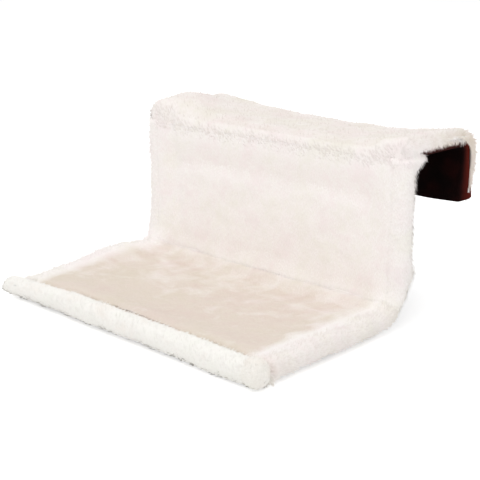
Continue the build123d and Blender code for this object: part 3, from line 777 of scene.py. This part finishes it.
def panel_level(node, points, waves):
    """Height over the tubes' axes that a panel's lying side gets: flush with rolls, front and hook."""
    x, y, z = points.T
    run, height = over_axis(points)[:2]
    level = height + np.maximum(corner_level - height, 0) * smooth_step(*corner_fade, np.abs(run - seam_run))
    level += (side_height(x, run) - level) * smooth_step(*roll_fade, np.abs(x))
    front = front_level + front_wave * waves
    level = np.maximum(level, level + (front - level) * smooth_step(*front_rise, y))
    level += (front - level) * smooth_step(*front_fade, y)
    wall = skin_radius - wall_lean * np.clip(1 - (x / side_x) ** 2, 0, 1)
    wall += wall_out - wall_in * smooth_step(*wall_head, z)
    wall = np.minimum(wall, side_height(x, run))
    level += (wall - level) * smooth_step(*wall_fade, z)
    return level - groove(x, z) * (node == "back_panel")


# How far from the corner's seam the panels get painted shade, from and to
seat_shaded, front_shaded, back_shaded = (-90 * mm, 70 * mm), (90 * mm, 190 * mm), (70 * mm, 0)
beside_roll = (side_x - 34 * mm, side_x - 10 * mm)
plain_corner = (18 * mm, 6 * mm)
plain_top = (z_lining - 22 * mm, z_lining - 8 * mm)
plain_side = (side_x - 10 * mm, side_x - 4 * mm)


def panel_painted_shade(node, x, from_corner):
    """How much painted shade a panel gets: most at the seat's front and at the backrest's foot, and least
    beside the rolls.
    """
    if node == "seat_panel":
        worn = smooth_step(*seat_shaded, from_corner) * (1 + 0.5 * smooth_step(*front_shaded, from_corner))
    else:
        worn = 0.35 * smooth_step(*back_shaded, from_corner)
    return worn * (1 - smooth_step(*beside_roll, np.abs(x)))


def panel_shade(skin, points, from_corner, up):
    """Normals for the light, which near the seams run round the tubes, so that the seams don't show."""
    x, z = points[:, 0], points[:, 2]
    plain = np.maximum(smooth_step(*plain_corner, from_corner), smooth_step(*plain_top, z))
    plain = np.maximum(plain, smooth_step(*plain_side, np.abs(x)))[:, None]
    aside = np.sign(x) * np.maximum(np.abs(x) - side_x, 0) / skin_radius
    shade = normals(skin.data) * (1 - plain) + (up + np.stack([aside, 0 * x, 0 * x], 1)) * plain
    return shade / np.linalg.norm(shade, axis=1)[:, None]


panel_mesh = 4.5 * mm  # distance between the points of a panel's even mesh
top_tuck, tuck_fade = 4 * mm, (z_lining - 22 * mm, z_lining - 3 * mm)  # up into the hook
sewn_fade = (10 * mm, 2 * mm)  # distance from the corner's seam
cover_wave, cover_fade = 2.5 * mm, (y_front + 32 * mm, y_front + 18 * mm)


def stuffed(node, name, cap):
    """A padded panel: the solid's shape, taken in a little, swollen by its stuffing, flush at its seams."""
    piece = copy_of_node(node, name)
    remesh = piece.modifiers.new("even mesh", "REMESH")
    remesh.mode, remesh.voxel_size = "VOXEL", panel_mesh
    finished(piece)
    tidy_mesh(piece)
    points, ups, lying = positions(piece.data), normals(piece.data), lying_side(piece.data)
    points[lying] -= ups[lying] * panel_depth
    points[:, 2] += top_tuck * smooth_step(*tuck_fade, points[:, 2])
    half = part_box(node)[1].x
    share = np.clip((np.abs(points[:, 0]) - half + stretched) / stretched, 0, 1)
    points[:, 0] += np.sign(points[:, 0]) * share * (side_x + roll_wrap - half)
    run, height, along, up = over_axis(points)
    waves = noise_field(points * (1, 0, 0), wave_size, wave_seed)
    rise = (panel_level(node, points, waves) - height) * lying
    sewn = seam_reach * (smooth_step(*sewn_fade, np.abs(run - seam_run)) * np.sign(seam_run - run))
    forward = (front_cover + cover_wave * waves) * lying * smooth_step(*cover_fade, points[:, 1])
    points += up * rise[:, None] + along * sewn[:, None]
    points[:, 1] -= forward
    set_positions(piece.data, drooped(points))
    swell(piece, cap, lying)
    evener = piece.modifiers.new("evener", "SMOOTH")
    evener.iterations = 3
    smoother = piece.modifiers.new("smoother", "SUBSURF")
    smoother.levels = smoother.render_levels = 1
    return finished(piece)


held_side, held_top = side_x - 26 * mm, z_lining - 50 * mm  # past these the stuffing doesn't swell a panel
stuffing_pressure = 4.0  # of the cloth simulation
swell_frames = 20


def swell(piece, cap, lying):
    """Cloth simulation of the stuffing's pressure, with the seams held."""
    rest = positions(piece.data)
    held = piece.vertex_groups.new(name="seams")
    sewn = np.nonzero((np.abs(rest[:, 0]) > held_side) | ~lying | (rest[:, 2] > held_top))[0]
    held.add([int(i) for i in sewn], 1.0, "REPLACE")
    cloth = piece.modifiers.new("stuffing", "CLOTH")
    cloth.settings.quality = 4
    cloth.settings.use_pressure = True
    cloth.settings.uniform_pressure_force = stuffing_pressure
    cloth.settings.effector_weights.gravity = 0.0
    cloth.settings.vertex_group_mass = "seams"
    cloth.point_cache.frame_start, cloth.point_cache.frame_end = 1, swell_frames
    for step in range(1, swell_frames + 1):
        scene.frame_set(step)
    finished(piece)
    moved = positions(piece.data) - rest
    far = np.linalg.norm(moved, axis=1)[:, None]
    set_positions(piece.data, rest + moved * np.minimum(1, cap / np.maximum(far, 1e-9)))
    piece.vertex_groups.clear()
    scene.frame_set(1)


# Hook

arc_steps = 8  # points on each round of the hook's section
path_steps = (9, 36, 22, 2)  # and on its front wall, top, flap and foot


def rounded_path(corners, radii, steps):
    """Points in Y and Z along straight runs, each in that many steps, joined by arcs."""
    corners = [np.array(c, float) for c in corners]
    points, start = [], corners[0]
    for i in range(1, len(corners) - 1):
        way = corners[i] - corners[i - 1]
        out = corners[i + 1] - corners[i]
        way, out = way / np.linalg.norm(way), out / np.linalg.norm(out)
        turn = math.acos(float(way @ out))
        inner = (out - way * (way @ out)) / math.sin(turn)
        radius = radii[i - 1]
        begin = corners[i] - way * radius * math.tan(turn / 2)
        points += [start + (begin - start) * k / steps[i - 1] for k in range(steps[i - 1])]
        points += [begin + radius * (way * math.sin(a) + inner * (1 - math.cos(a)))
                   for a in np.linspace(0, turn, arc_steps, endpoint=False)]
        start = corners[i] + out * radius * math.tan(turn / 2)
    points += [start + (corners[-1] - start) * k / steps[-1] for k in range(steps[-1] + 1)]
    return np.array(points)


# Where the hook's top hangs lower or is fuller
right_dip_x, right_dip_width = 130 * mm, 60 * mm
hump_x, hump_y, hump_wide, hump_deep = -185 * mm, y_up + 38 * mm, 42 * mm, 48 * mm
left_drop, left_fade = 2 * mm, (-195 * mm, -215 * mm)
rear_drop, rear_fade_x, rear_fade_y = 5.5 * mm, (140 * mm, 200 * mm), (y_up + 50 * mm, y_rear)


def top_drop(x, y):
    """How far the hook's top hangs under its highest level: slack between the arms, full over the left."""
    slack = top_sag * np.clip(1 - (x / side_x) ** 2, 0, 1)
    right = right_sag * hill(x, right_dip_x, right_dip_width)
    left = left_drop * smooth_step(*left_fade, x)
    rear = rear_drop * smooth_step(*rear_fade_x, x) * smooth_step(*rear_fade_y, y)
    return slack + right + left + rear - left_hump * hill(x, hump_x, hump_wide) * hill(y, hump_y, hump_deep)


def rim_inset(z):
    """Width of the flap's plush rim, from its outer face to the lining's turned edge."""
    return rim_low + (rim_top - rim_low) * smooth_step(z_flap, z_lining, z)


hem_drop = 8 * mm  # how far the front wall's hem reaches under the lining
rim_depth = 30 * mm  # from the front wall back to the rim of the open end
rim_rounds = (6 * mm, 20 * mm, 0.4 * mm)  # at the front, over the flap and at its foot
rim_foot = 1 * mm  # width of the rim's lowest edge
end_rows, end_arc, middle_columns = 5, 5, 112
corner_end = 0.96  # share of the flap's corner at which its round stops, short of a sharp edge
arm_fade = (side_x - 14 * mm, side_x - 50 * mm)  # from the tight round over an arm to the full one between
drop_from = z_lining + 2 * mm
lean_fade = (y_up + 40 * mm, y_up - 5 * mm)
slack_under, under_fade = 9 * mm, z_lining - 1 * mm  # the wall hangs lower between the arms
bulge_fade_x, bulge_z, bulge_tall = (90 * mm, 170 * mm), z_lining - 10 * mm, 24 * mm


def hook_columns(half, rounding):
    """Across the hook: each column's X, depth under the skin, and share of the way to the end's rim."""
    section = []
    for sign in (-1, 1):
        edge = [(sign * half, rounding, share) for share in np.linspace(1, 0, end_rows + 1)[:-1]]
        for a in np.radians(np.linspace(0, 90, end_arc + 1)[:-1]):
            edge.append((sign * (half - rounding * (1 - math.cos(a))), rounding * (1 - math.sin(a)), 0))
        section.append(edge)
    middle = [(f * (half - rounding), 0 * half, 0) for f in np.linspace(-1, 1, middle_columns)]
    return section[0] + middle + section[1][::-1]


def hook_skin():
    """One plush skin over both arms: front wall, top, ends and the flap behind the radiator."""
    y_from, y_to = cover_low.y + pile_depth, y_rear - pile_depth
    z_high, z_low = z_top - pile_depth, z_flap + pile_depth
    z_hem, y_foot = z_lining - hem_drop, y_to - flap_taper
    corners = [(y_from, z_hem), (y_from, z_high), (y_to, z_high), (y_foot, z_low), (y_foot - hem, z_low)]
    tight = rounded_path(corners, (side_shoulder, rear_round, hem_round), path_steps)
    full = rounded_path(corners, (middle_shoulder, rear_round, hem_round), path_steps)
    y_rim, z_rim, y_end = y_from + rim_depth, z_lining + rim_rise, y_foot - rim_low
    rim = rounded_path([(y_rim, z_hem), (y_rim, z_rim), (y_to - rim_top, z_rim), (y_end, z_low),
                        (y_end - rim_foot, z_low)], rim_rounds, path_steps)
    rounding = np.minimum(end_round, 0.8 * np.linalg.norm(rim - tight, axis=1))
    low = np.clip((z_low + flap_corner - tight[:, 1]) / flap_corner, 0, 1) * (tight[:, 0] > y_split)
    half = cover_half - pile_depth - flap_corner * (1 - np.sqrt(1 - low ** 2 * corner_end))
    rows = []
    for x, depth, share in hook_columns(half, rounding):
        full_share = smooth_step(*arm_fade, np.abs(x))[:, None]
        outer = tight * (1 - full_share) + full * full_share
        way = np.gradient(outer, axis=0)
        way /= np.linalg.norm(way, axis=1)[:, None]
        place = outer + np.stack([way[:, 1], -way[:, 0]], 1) * np.reshape(depth, (-1, 1))
        place = place + (rim - place) * share
        y, z = place[:, 0], place[:, 1]
        drop = top_drop(x, y) * smooth_step(drop_from, z_high, z) * (depth < end_round) * (share == 0)
        lean = wall_lean * np.clip(1 - (x / side_x) ** 2, 0, 1) + groove(x, z)
        lean = lean * smooth_step(*lean_fade, y)
        under = slack_under * full_share[:, 0] * smooth_step(under_fade, z_hem, z) * (y < y_up)
        bulge = rear_bulge * smooth_step(*bulge_fade_x, x) * smooth_step(y_split, y_to, y)
        bulge = bulge * hill(z, bulge_z, bulge_tall)
        rows.append(np.stack([x, y + lean + bulge, z - drop - under], 1))
    return open_sheet("hook_skin", rows)


lining_rise = 0.6 * mm  # the cloth over the solid lining's underside
lining_inset = 0.5 * mm  # between the cloth's edges and the plush
lining_from = y_up + 12 * mm
channel_corner, channel_steps = 8 * mm, (30, 24)
lining_step = 2.4 * mm  # between the points across the hook's lining
fold_depth, fold_size = 4.2 * mm, 19 * mm  # height of the folds at the foot, and their width for each radian
fold_drift, drift_size = 1.3, 60 * mm  # how far the folds' spacing wanders
fold_back = 1.5 * mm  # how far the foot hangs away from the flap
edge_width = 4 * mm  # of the strip that is turned over the rim
edge_head, edge_foot = 4.5 * mm, 1 * mm  # how far the turned edge reaches over the rim, at top and foot
turn_width = 8 * mm  # over which the cloth turns down into the channel
ripple_top, ripple_top_size = 0.8 * mm, 34 * mm
ripple_foot, ripple_foot_size = 1.6 * mm, 29 * mm
flare_out = 4 * mm  # how far the turned edges spread at the foot
light_from, light_to, light_fold = 50 * mm, 8 * mm, 3 * mm  # where the folds near the ends get a painted highlight


def hook_lining_cloth():
    """Velour under the arms and down the channel's back, in soft upright folds, its edges turned."""
    y_back, z_under = y_rear - face_inset, z_lining + lining_rise
    half = cover_half - pile_depth - cover_wall - lining_inset
    across = np.concatenate([np.arange(-half, half, lining_step), [half]])
    rows, lit = [], []
    for x in across:
        corner = np.clip((abs(x) - half + lining_corner) / lining_corner, 0, 1)
        foot = z_flap + lining_inset + lining_corner * (1 - np.sqrt(1 - round_end * corner ** 2))
        path = rounded_path([(lining_from, z_under), (y_back, z_under), (y_back, foot)], (channel_corner,),
                            channel_steps)
        y, z = path.T
        hang = np.clip((z_lining - z) / (z_lining - z_flap), 0, 1)
        down = smooth_step(y_back - turn_width, y_back, y)
        # Two waves of unlike length, so that no two folds are the same
        phase = x / fold_size + fold_drift * math.sin(x / drift_size)
        fold = (0.62 * math.sin(phase) + 0.38 * math.sin(1.7 * phase + 0.8)) * fold_depth * hang ** 0.8
        turned = smooth_step(half - edge_width, half, abs(x))
        edge_reach = edge_head + (edge_foot - edge_head) * hang
        edge_y = y_rear - pile_depth - flap_taper * hang - rim_inset(z) + edge_reach
        y = y - fold_back * hang + fold
        y = y + (edge_y - y) * turned * down
        ripple = ripple_top * math.sin(x / ripple_top_size) * (1 - hang)
        ripple = ripple + ripple_foot * math.sin(x / ripple_foot_size) * hang ** 4
        out = x + np.sign(x) * flare_out * turned * hang ** 2
        rows.append(np.stack([out, y, z + ripple + turned_edge * turned * (1 - down)], 1))
        # Painted highlight on the turned edges, and on the folds near the ends
        near_end = smooth_step(half - light_from, half - light_to, abs(x))
        lit.append(np.maximum(turned, 0.35 * near_end * np.clip(fold / light_fold, 0, 1)))
    cloth = open_sheet("hook_lining_cloth", rows)
    store(cloth.data, "lit", np.ravel(lit))
    return cloth


flat_columns = 98  # of points across a lining
flat_lit = 0.25  # share of the painted red highlight that the flat linings show
pucker_depth, pucker_size, pucker_slant = 0.5 * mm, 13 * mm, 90 * mm
pucker_width = 30 * mm  # from a lining's side edge to where its puckers end


def flat_lining(name, node, run_from, run_to, drop):
    """Velour on the far side of the tubes, drawn tight between the rolls, with small puckers at its sides."""
    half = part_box(node)[1].x
    runs = np.linspace(run_from, run_to, int((run_to - run_from) / grid_step))
    y, z, up_y, up_z = along_tube(runs)
    rows = []
    for x in np.linspace(-half, half, flat_columns):
        pucker = pucker_depth * np.sin(runs / pucker_size + x / pucker_slant)
        far = drop + pucker * smooth_step(half - pucker_width, half, abs(x))
        rows.append(np.stack([np.full(len(runs), x), y - far * up_y, z - far * up_z], 1))
    cloth = open_sheet(name, rows)
    # The painted red highlight, the same all over
    store(cloth.data, "lit", flat_lit)
    return cloth


def thicken(piece, thickness, offset):
    """Gives an open skin its wall."""
    solid = piece.modifiers.new("thickness", "SOLIDIFY")
    solid.thickness, solid.offset = thickness, offset
    return finished(piece)


def coat(piece, material):
    """Gives a piece its only material."""
    piece.data.materials.clear()
    piece.data.materials.append(material)
    return piece


def dress(skin, pile, finish, node):
    """Gives a skin and its pile their finish, on the still body and in place of a solid."""
    for piece in (skin, pile):
        coat(piece, finish)
        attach(piece, "root")
    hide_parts(node)


roll_pile, hook_pile = 7.5 * mm, 8 * mm  # length of the longest blades

# Front roll, with a cap sewn into its right end
worn_under, worn_fade = 0.15, (160 * mm, 60 * mm)  # share that it is worn flat underneath
cap_fade = (roll_half - end_cap - 3 * mm, roll_half - end_cap + 2 * mm)
cap_seam_depth, cap_seam_width = 1.5 * mm, 2.5 * mm
skin = front_roll_skin()
add_lumps(skin, roll_lumps, roll_lump_height, seed=1)
points = drooped(positions(skin.data))
under = np.maximum(z_seat - points[:, 2], 0)
points[:, 2] += worn_under * smooth_step(*worn_fade, points[:, 0]) * under
cap = smooth_step(*cap_fade, points[:, 0])
points[:, 2] += cap_fullness * cap * np.clip((points[:, 2] - z_seat) / roll_radius + 0.3, 0, 1)
cap_seam = cap_seam_depth * hill(points[:, 0], roll_half - end_cap, cap_seam_width)
points -= normals(skin.data) * cap_seam[:, None]
points[:, 2] = np.maximum(points[:, 2], floor_gap)
set_positions(skin.data, points)
facing = normals(skin.data)
# The nap lies round the roll, and there are fewer strays on top, where they would show as specks
round_way = np.cross(facing, (1, 0, 0)) * 0.9 + np.array((0.15, 0, 0))
loose = np.maximum(0.25, 0.6 * smooth_step(0.9, 0.6, facing[:, 2]))
mark_skin(skin, grows=1.0, comb=round_way, swirl=0.5, seed=1, reach=1 - 0.5 * cap, warm_shade=0.2 * cap,
          loose=loose)
pile = grow(skin, "front_roll_pile", count=52000, longest=roll_pile, stand=0.1, spread=0.1, strays=0.15,
            seed=1, finish=white_plush)
dress(skin, pile, white_plush, "front_roll")

# Side rolls
behind_roll = (y_up - 2 * mm, y_up + 8 * mm)  # the right back roll's pile is longer behind its axis
for side, label in ((-1, "left"), (1, "right")):
    for part, build, nap, count, seed in (
            ("seat", seat_roll_skin, (-0.3, 0.8, 0.0), 24000, 2 + side),
            ("back", back_roll_skin, (side * 0.4, 0.0, -0.9), 20000, 3 + side)):
        skin = build(side, f"{label}_{part}_roll_skin")
        add_lumps(skin, roll_lumps, roll_lump_height, seed)
        points = drooped(positions(skin.data))
        points[:, 2] = np.maximum(points[:, 2], floor_gap)
        set_positions(skin.data, points)
        # Longer pile at the rear of the right back roll, and the right seat roll a little greyer
        reach = 1 + 0.5 * (side > 0) * (part == "back") * smooth_step(*behind_roll, points[:, 1])
        greyer = 0.25 * (side > 0) * (part == "seat")
        loose = np.maximum(0.3, smooth_step(0.7, 0.3, normals(skin.data)[:, 2]))
        mark_skin(skin, grows=1.0, comb=nap, swirl=0.5, seed=seed, reach=reach, warm_shade=greyer, loose=loose)
        pile = grow(skin, f"{label}_{part}_roll_pile", count, longest=roll_pile, stand=0.1, spread=0.1,
                    strays=0.18, seed=seed, finish=ivory_plush)
        dress(skin, pile, ivory_plush, f"{label}_{part}_roll")

# Padded seat and backrest
panel_swell = 4 * mm
panel_lumps, panel_lump_height = 32 * mm, 1.7 * mm
calm_corner, calm_top = (4 * mm, 22 * mm), (z_lining - 18 * mm, z_lining - 40 * mm)  # no lumps at the seams
for node, nap, count, seed in (
        ("seat_panel", (-0.4, 0.8, 0.0), 90000, 6), ("back_panel", (0.1, 0.0, -0.9), 80000, 7)):
    skin = stuffed(node, f"{node}_skin", panel_swell)
    points = positions(skin.data)
    calm = smooth_step(*calm_corner, np.abs(over_axis(points)[0] - seam_run))
    add_lumps(skin, panel_lumps, panel_lump_height, seed, calm * smooth_step(*calm_top, points[:, 2]))
    points = positions(skin.data)
    run, height, along, up = over_axis(points)
    from_corner = np.abs(run - seam_run)
    mark_skin(skin, grows=lying_side(skin.data), comb=nap, swirl=0.45, seed=seed,
              warm_shade=panel_painted_shade(node, points[:, 0], from_corner),
              shade=panel_shade(skin, points, from_corner, up))
    pile = grow(skin, f"{node}_pile", count, longest=roll_pile, stand=0.04, spread=0.06, strays=0.0,
                seed=seed, finish=ivory_plush)
    dress(skin, pile, ivory_plush, node)

# Hook cover and flap, whose plush is one skin, with the flap's pile on the sliding hook
wall_back = y_up + 20 * mm  # the front wall lies before this
hook_lumps, hook_lump_height = 30 * mm, 1.5 * mm
calm_wall = (z_lining + 2 * mm, z_lining + 16 * mm)
top_raise, raise_fade = 2 * mm, (z_lining + 8 * mm, z_lining + 16 * mm)
foot_fade = (z_flap + 50 * mm, z_flap + 10 * mm)  # the pile gets shorter towards the flap's foot
shade_fade = (y_up + 5 * mm, y_up + 95 * mm)
flap_from = y_split + 8 * mm
outer = hook_skin()
points = positions(outer.data)
calm = np.where(points[:, 1] < wall_back, smooth_step(*calm_wall, points[:, 2]), 1)
add_lumps(outer, hook_lumps, hook_lump_height, 9, calm)
points = positions(outer.data)
points[:, 2] += top_raise * smooth_step(*raise_fade, points[:, 2])
set_positions(outer.data, points)
if normals(outer.data)[np.argmax(points[:, 2]), 2] < 0:
    outer.data.flip_normals()
x, y, z = points.T
facing = normals(outer.data)
# The nap lies back on the top, up on the front wall, and down on the flap and the ends
tops = np.clip(facing[:, 2], 0, 1)
fronts = np.clip(-facing[:, 1], 0, 1) * (y < wall_back)
others = np.clip(1 - tops - fronts, 0, 1)
comb = np.outer(tops, (-0.5, 0.6, 0.2)) + np.outer(fronts, (-0.2, 0.2, 0.9))
comb += np.outer(others, (0.1, 0.0, -0.9))
# The pile is longer at the ends and shorter on their rims, and the top has few strays
ends = np.abs(x) > cover_half - pile_depth - 0.6 * end_round
rim = ends * smooth_step(0.3, 0.9, np.abs(facing[:, 0]))
reach = 1 + (0.3 + 0.3 * (x > 0)) * ends - 0.35 * smooth_step(*foot_fade, z) - 0.45 * rim
# Painted shade on the ends' rims towards the back, and on the top
warm_shade = np.maximum(rim * smooth_step(*shade_fade, y), 0.4 * tops)
loose = np.maximum(0.16 * ends + 0.04, smooth_step(0.6, 0.2, tops) * (0.45 + 0.55 * ends))
mark_skin(outer, grows=1.0, comb=comb, swirl=0.45, seed=9, reach=reach, warm_shade=warm_shade, loose=loose)
for label, grows, count, stand, seed in (
        ("hook_top_pile", y <= flap_from, 90000, 0.06, 9), ("flap_pile", y > flap_from, 70000, 0.35, 10)):
    store(outer.data, "pile", grows)
    pile = grow(outer, label, count, longest=hook_pile, stand=stand, spread=0.08, strays=0.18, seed=seed,
                finish=ivory_plush)
    coat(pile, ivory_plush)
    if label == "flap_pile":
        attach(pile, "hook")
    else:
        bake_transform(pile)
thicken(outer, cover_wall, -1)
# The wall's inner side takes the light by its own normals
facing, shade = normals(outer.data), stored_vectors(outer.data, "skin_up")
inner = (facing * shade).sum(1)[:, None] < -0.3
store(outer.data, "skin_up", np.where(inner, facing, shade))
coat(outer, ivory_plush)
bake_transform(outer)
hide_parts("hook_cover", "rear_flap")

# Velour linings
hook_lining = hook_lining_cloth()
thicken(hook_lining, cloth_wall, 0)
coat(hook_lining, burgundy_velour)
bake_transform(hook_lining)
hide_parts("channel_lining", "rear_flap_lining")
seat_depth, back_depth = 9.6 * mm, 12.6 * mm  # from the tubes' axes out to the lining
for name, node, run_from, run_to, depth in (
        ("seat_lining_cloth", "seat_lining", roll_radius + sheet_gap, seam_run - sheet_gap, seat_depth),
        ("back_lining_cloth", "back_lining", seam_run + sheet_gap, top_run - sheet_gap, back_depth)):
    cloth = flat_lining(name, node, run_from, run_to, depth)
    thicken(cloth, cloth_wall, 0)
    coat(cloth, burgundy_velour)
    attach(cloth, "root")
    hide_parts(node)

# Tubes, bolts, plastic fittings, wadding and tape keep their solids and get their finish
for subpart in frame["record"]["subparts"]:
    if subpart["material_slot"] in finishes:
        coat(frame["nodes"][subpart["node"]], finishes[subpart["material_slot"]])

# Floor and light


def sight(tree):
    """1 for rays that the camera sees, also in metal or through glass, and 0 for those that bring light."""
    path = add(tree, "ShaderNodeLightPath").outputs
    seen = add(tree, "ShaderNodeMath", {0: path["Is Camera Ray"], 1: path["Is Glossy Ray"]},
               operation="MAXIMUM")
    also = add(tree, "ShaderNodeMath", {0: seen.outputs[0], 1: path["Is Transmission Ray"]},
               operation="MAXIMUM")
    return also.outputs[0]


def soft_lamp(name, way, reach, size, power):
    """A square area lamp that looks at the bed from that way."""
    data = bpy.data.lights.new(name, "AREA")
    data.shape, data.size, data.energy = "SQUARE", size, power
    lamp = bpy.data.objects.new(name, data)
    scene.collection.objects.link(lamp)
    way = Vector(way).normalized()
    lamp.location = target + way * reach
    lamp.rotation_mode = "QUATERNION"
    lamp.rotation_quaternion = (-way).to_track_quat("-Z", "Y")


white = linear("FFFFFF")
floor_half = 8000 * mm
floor = make_piece("floor", [(-floor_half, -floor_half, 0), (floor_half, -floor_half, 0),
                             (floor_half, floor_half, 0), (-floor_half, floor_half, 0)], [(0, 1, 2, 3)])
# Matt white paper, which shows itself lighter than it lights the bed
paper, tree = new_material("white paper floor")
grain = add(tree, "ShaderNodeTexNoise", {
    "Vector": add(tree, "ShaderNodeTexCoord").outputs["Object"], "Scale": 1 / (400 * mm)})
pale = add(tree, "ShaderNodeValToRGB", {"Fac": grain.outputs["Fac"]}, ((0.4, "F6F6F6"), (0.6, "F8F8F8")))
lit = add(tree, "ShaderNodeBsdfDiffuse", {"Color": pale.outputs["Color"]})
glow = add(tree, "ShaderNodeEmission", {"Color": white, "Strength": 0.45})
both = add(tree, "ShaderNodeAddShader", {0: lit.outputs[0], 1: glow.outputs[0]})
mixed = add(tree, "ShaderNodeMixShader", {0: sight(tree), 1: lit.outputs[0], 2: both.outputs[0]})
add(tree, "ShaderNodeOutputMaterial", {"Surface": mixed.outputs[0]})
floor.data.materials.append(paper)

world = bpy.data.worlds.new("studio")
scene.world = world
world.use_nodes = True
tree = world.node_tree
tree.nodes.clear()
fill = add(tree, "ShaderNodeBackground", {"Color": white, "Strength": 0.81})
backdrop = add(tree, "ShaderNodeBackground", {"Color": white, "Strength": 1.0})
mixed = add(tree, "ShaderNodeMixShader", {0: sight(tree), 1: fill.outputs[0], 2: backdrop.outputs[0]})
add(tree, "ShaderNodeOutputWorld", {"Surface": mixed.outputs[0]})

target = Vector((0, y_front + 130 * mm, z_seat + 80 * mm))  # the middle of the bed
soft_lamp("key", way=(0.50, -0.85, 0.15), reach=2600 * mm, size=2200 * mm, power=6.6)
soft_lamp("top", way=(0.10, -0.35, 1.0), reach=2600 * mm, size=2600 * mm, power=19.5)

# Camera, fitted to the photograph's outline
azimuth, elevation, tilt = math.radians(43.52), math.radians(15.76), math.radians(0.12)
distance = 1246.23 * mm
focal_pixels = 1000.0
picture = 480
centre_x, centre_y = 203.38, 239.1  # where the target falls in the picture
back_way = Vector((math.sin(azimuth) * math.cos(elevation), -math.cos(azimuth) * math.cos(elevation),
                   math.sin(elevation)))
right_way = Vector((math.cos(azimuth), math.sin(azimuth), 0))
up_way = back_way.cross(right_way)
camera_data = bpy.data.cameras.new("camera")
camera_data.sensor_width = 36.0
camera_data.lens = focal_pixels / picture * camera_data.sensor_width
camera = bpy.data.objects.new("camera", camera_data)
scene.collection.objects.link(camera)
shift_x = (centre_x - picture / 2) * distance / focal_pixels
shift_y = (centre_y - picture / 2) * distance / focal_pixels
camera.location = target + back_way * distance - right_way * shift_x + up_way * shift_y
tilted_right = right_way * math.cos(tilt) + up_way * math.sin(tilt)
tilted_up = up_way * math.cos(tilt) - right_way * math.sin(tilt)
camera.rotation_mode = "QUATERNION"
camera.rotation_quaternion = Matrix((tilted_right, tilted_up, back_way)).transposed().to_quaternion()
scene.camera = camera

scene.view_settings.view_transform = "Standard"
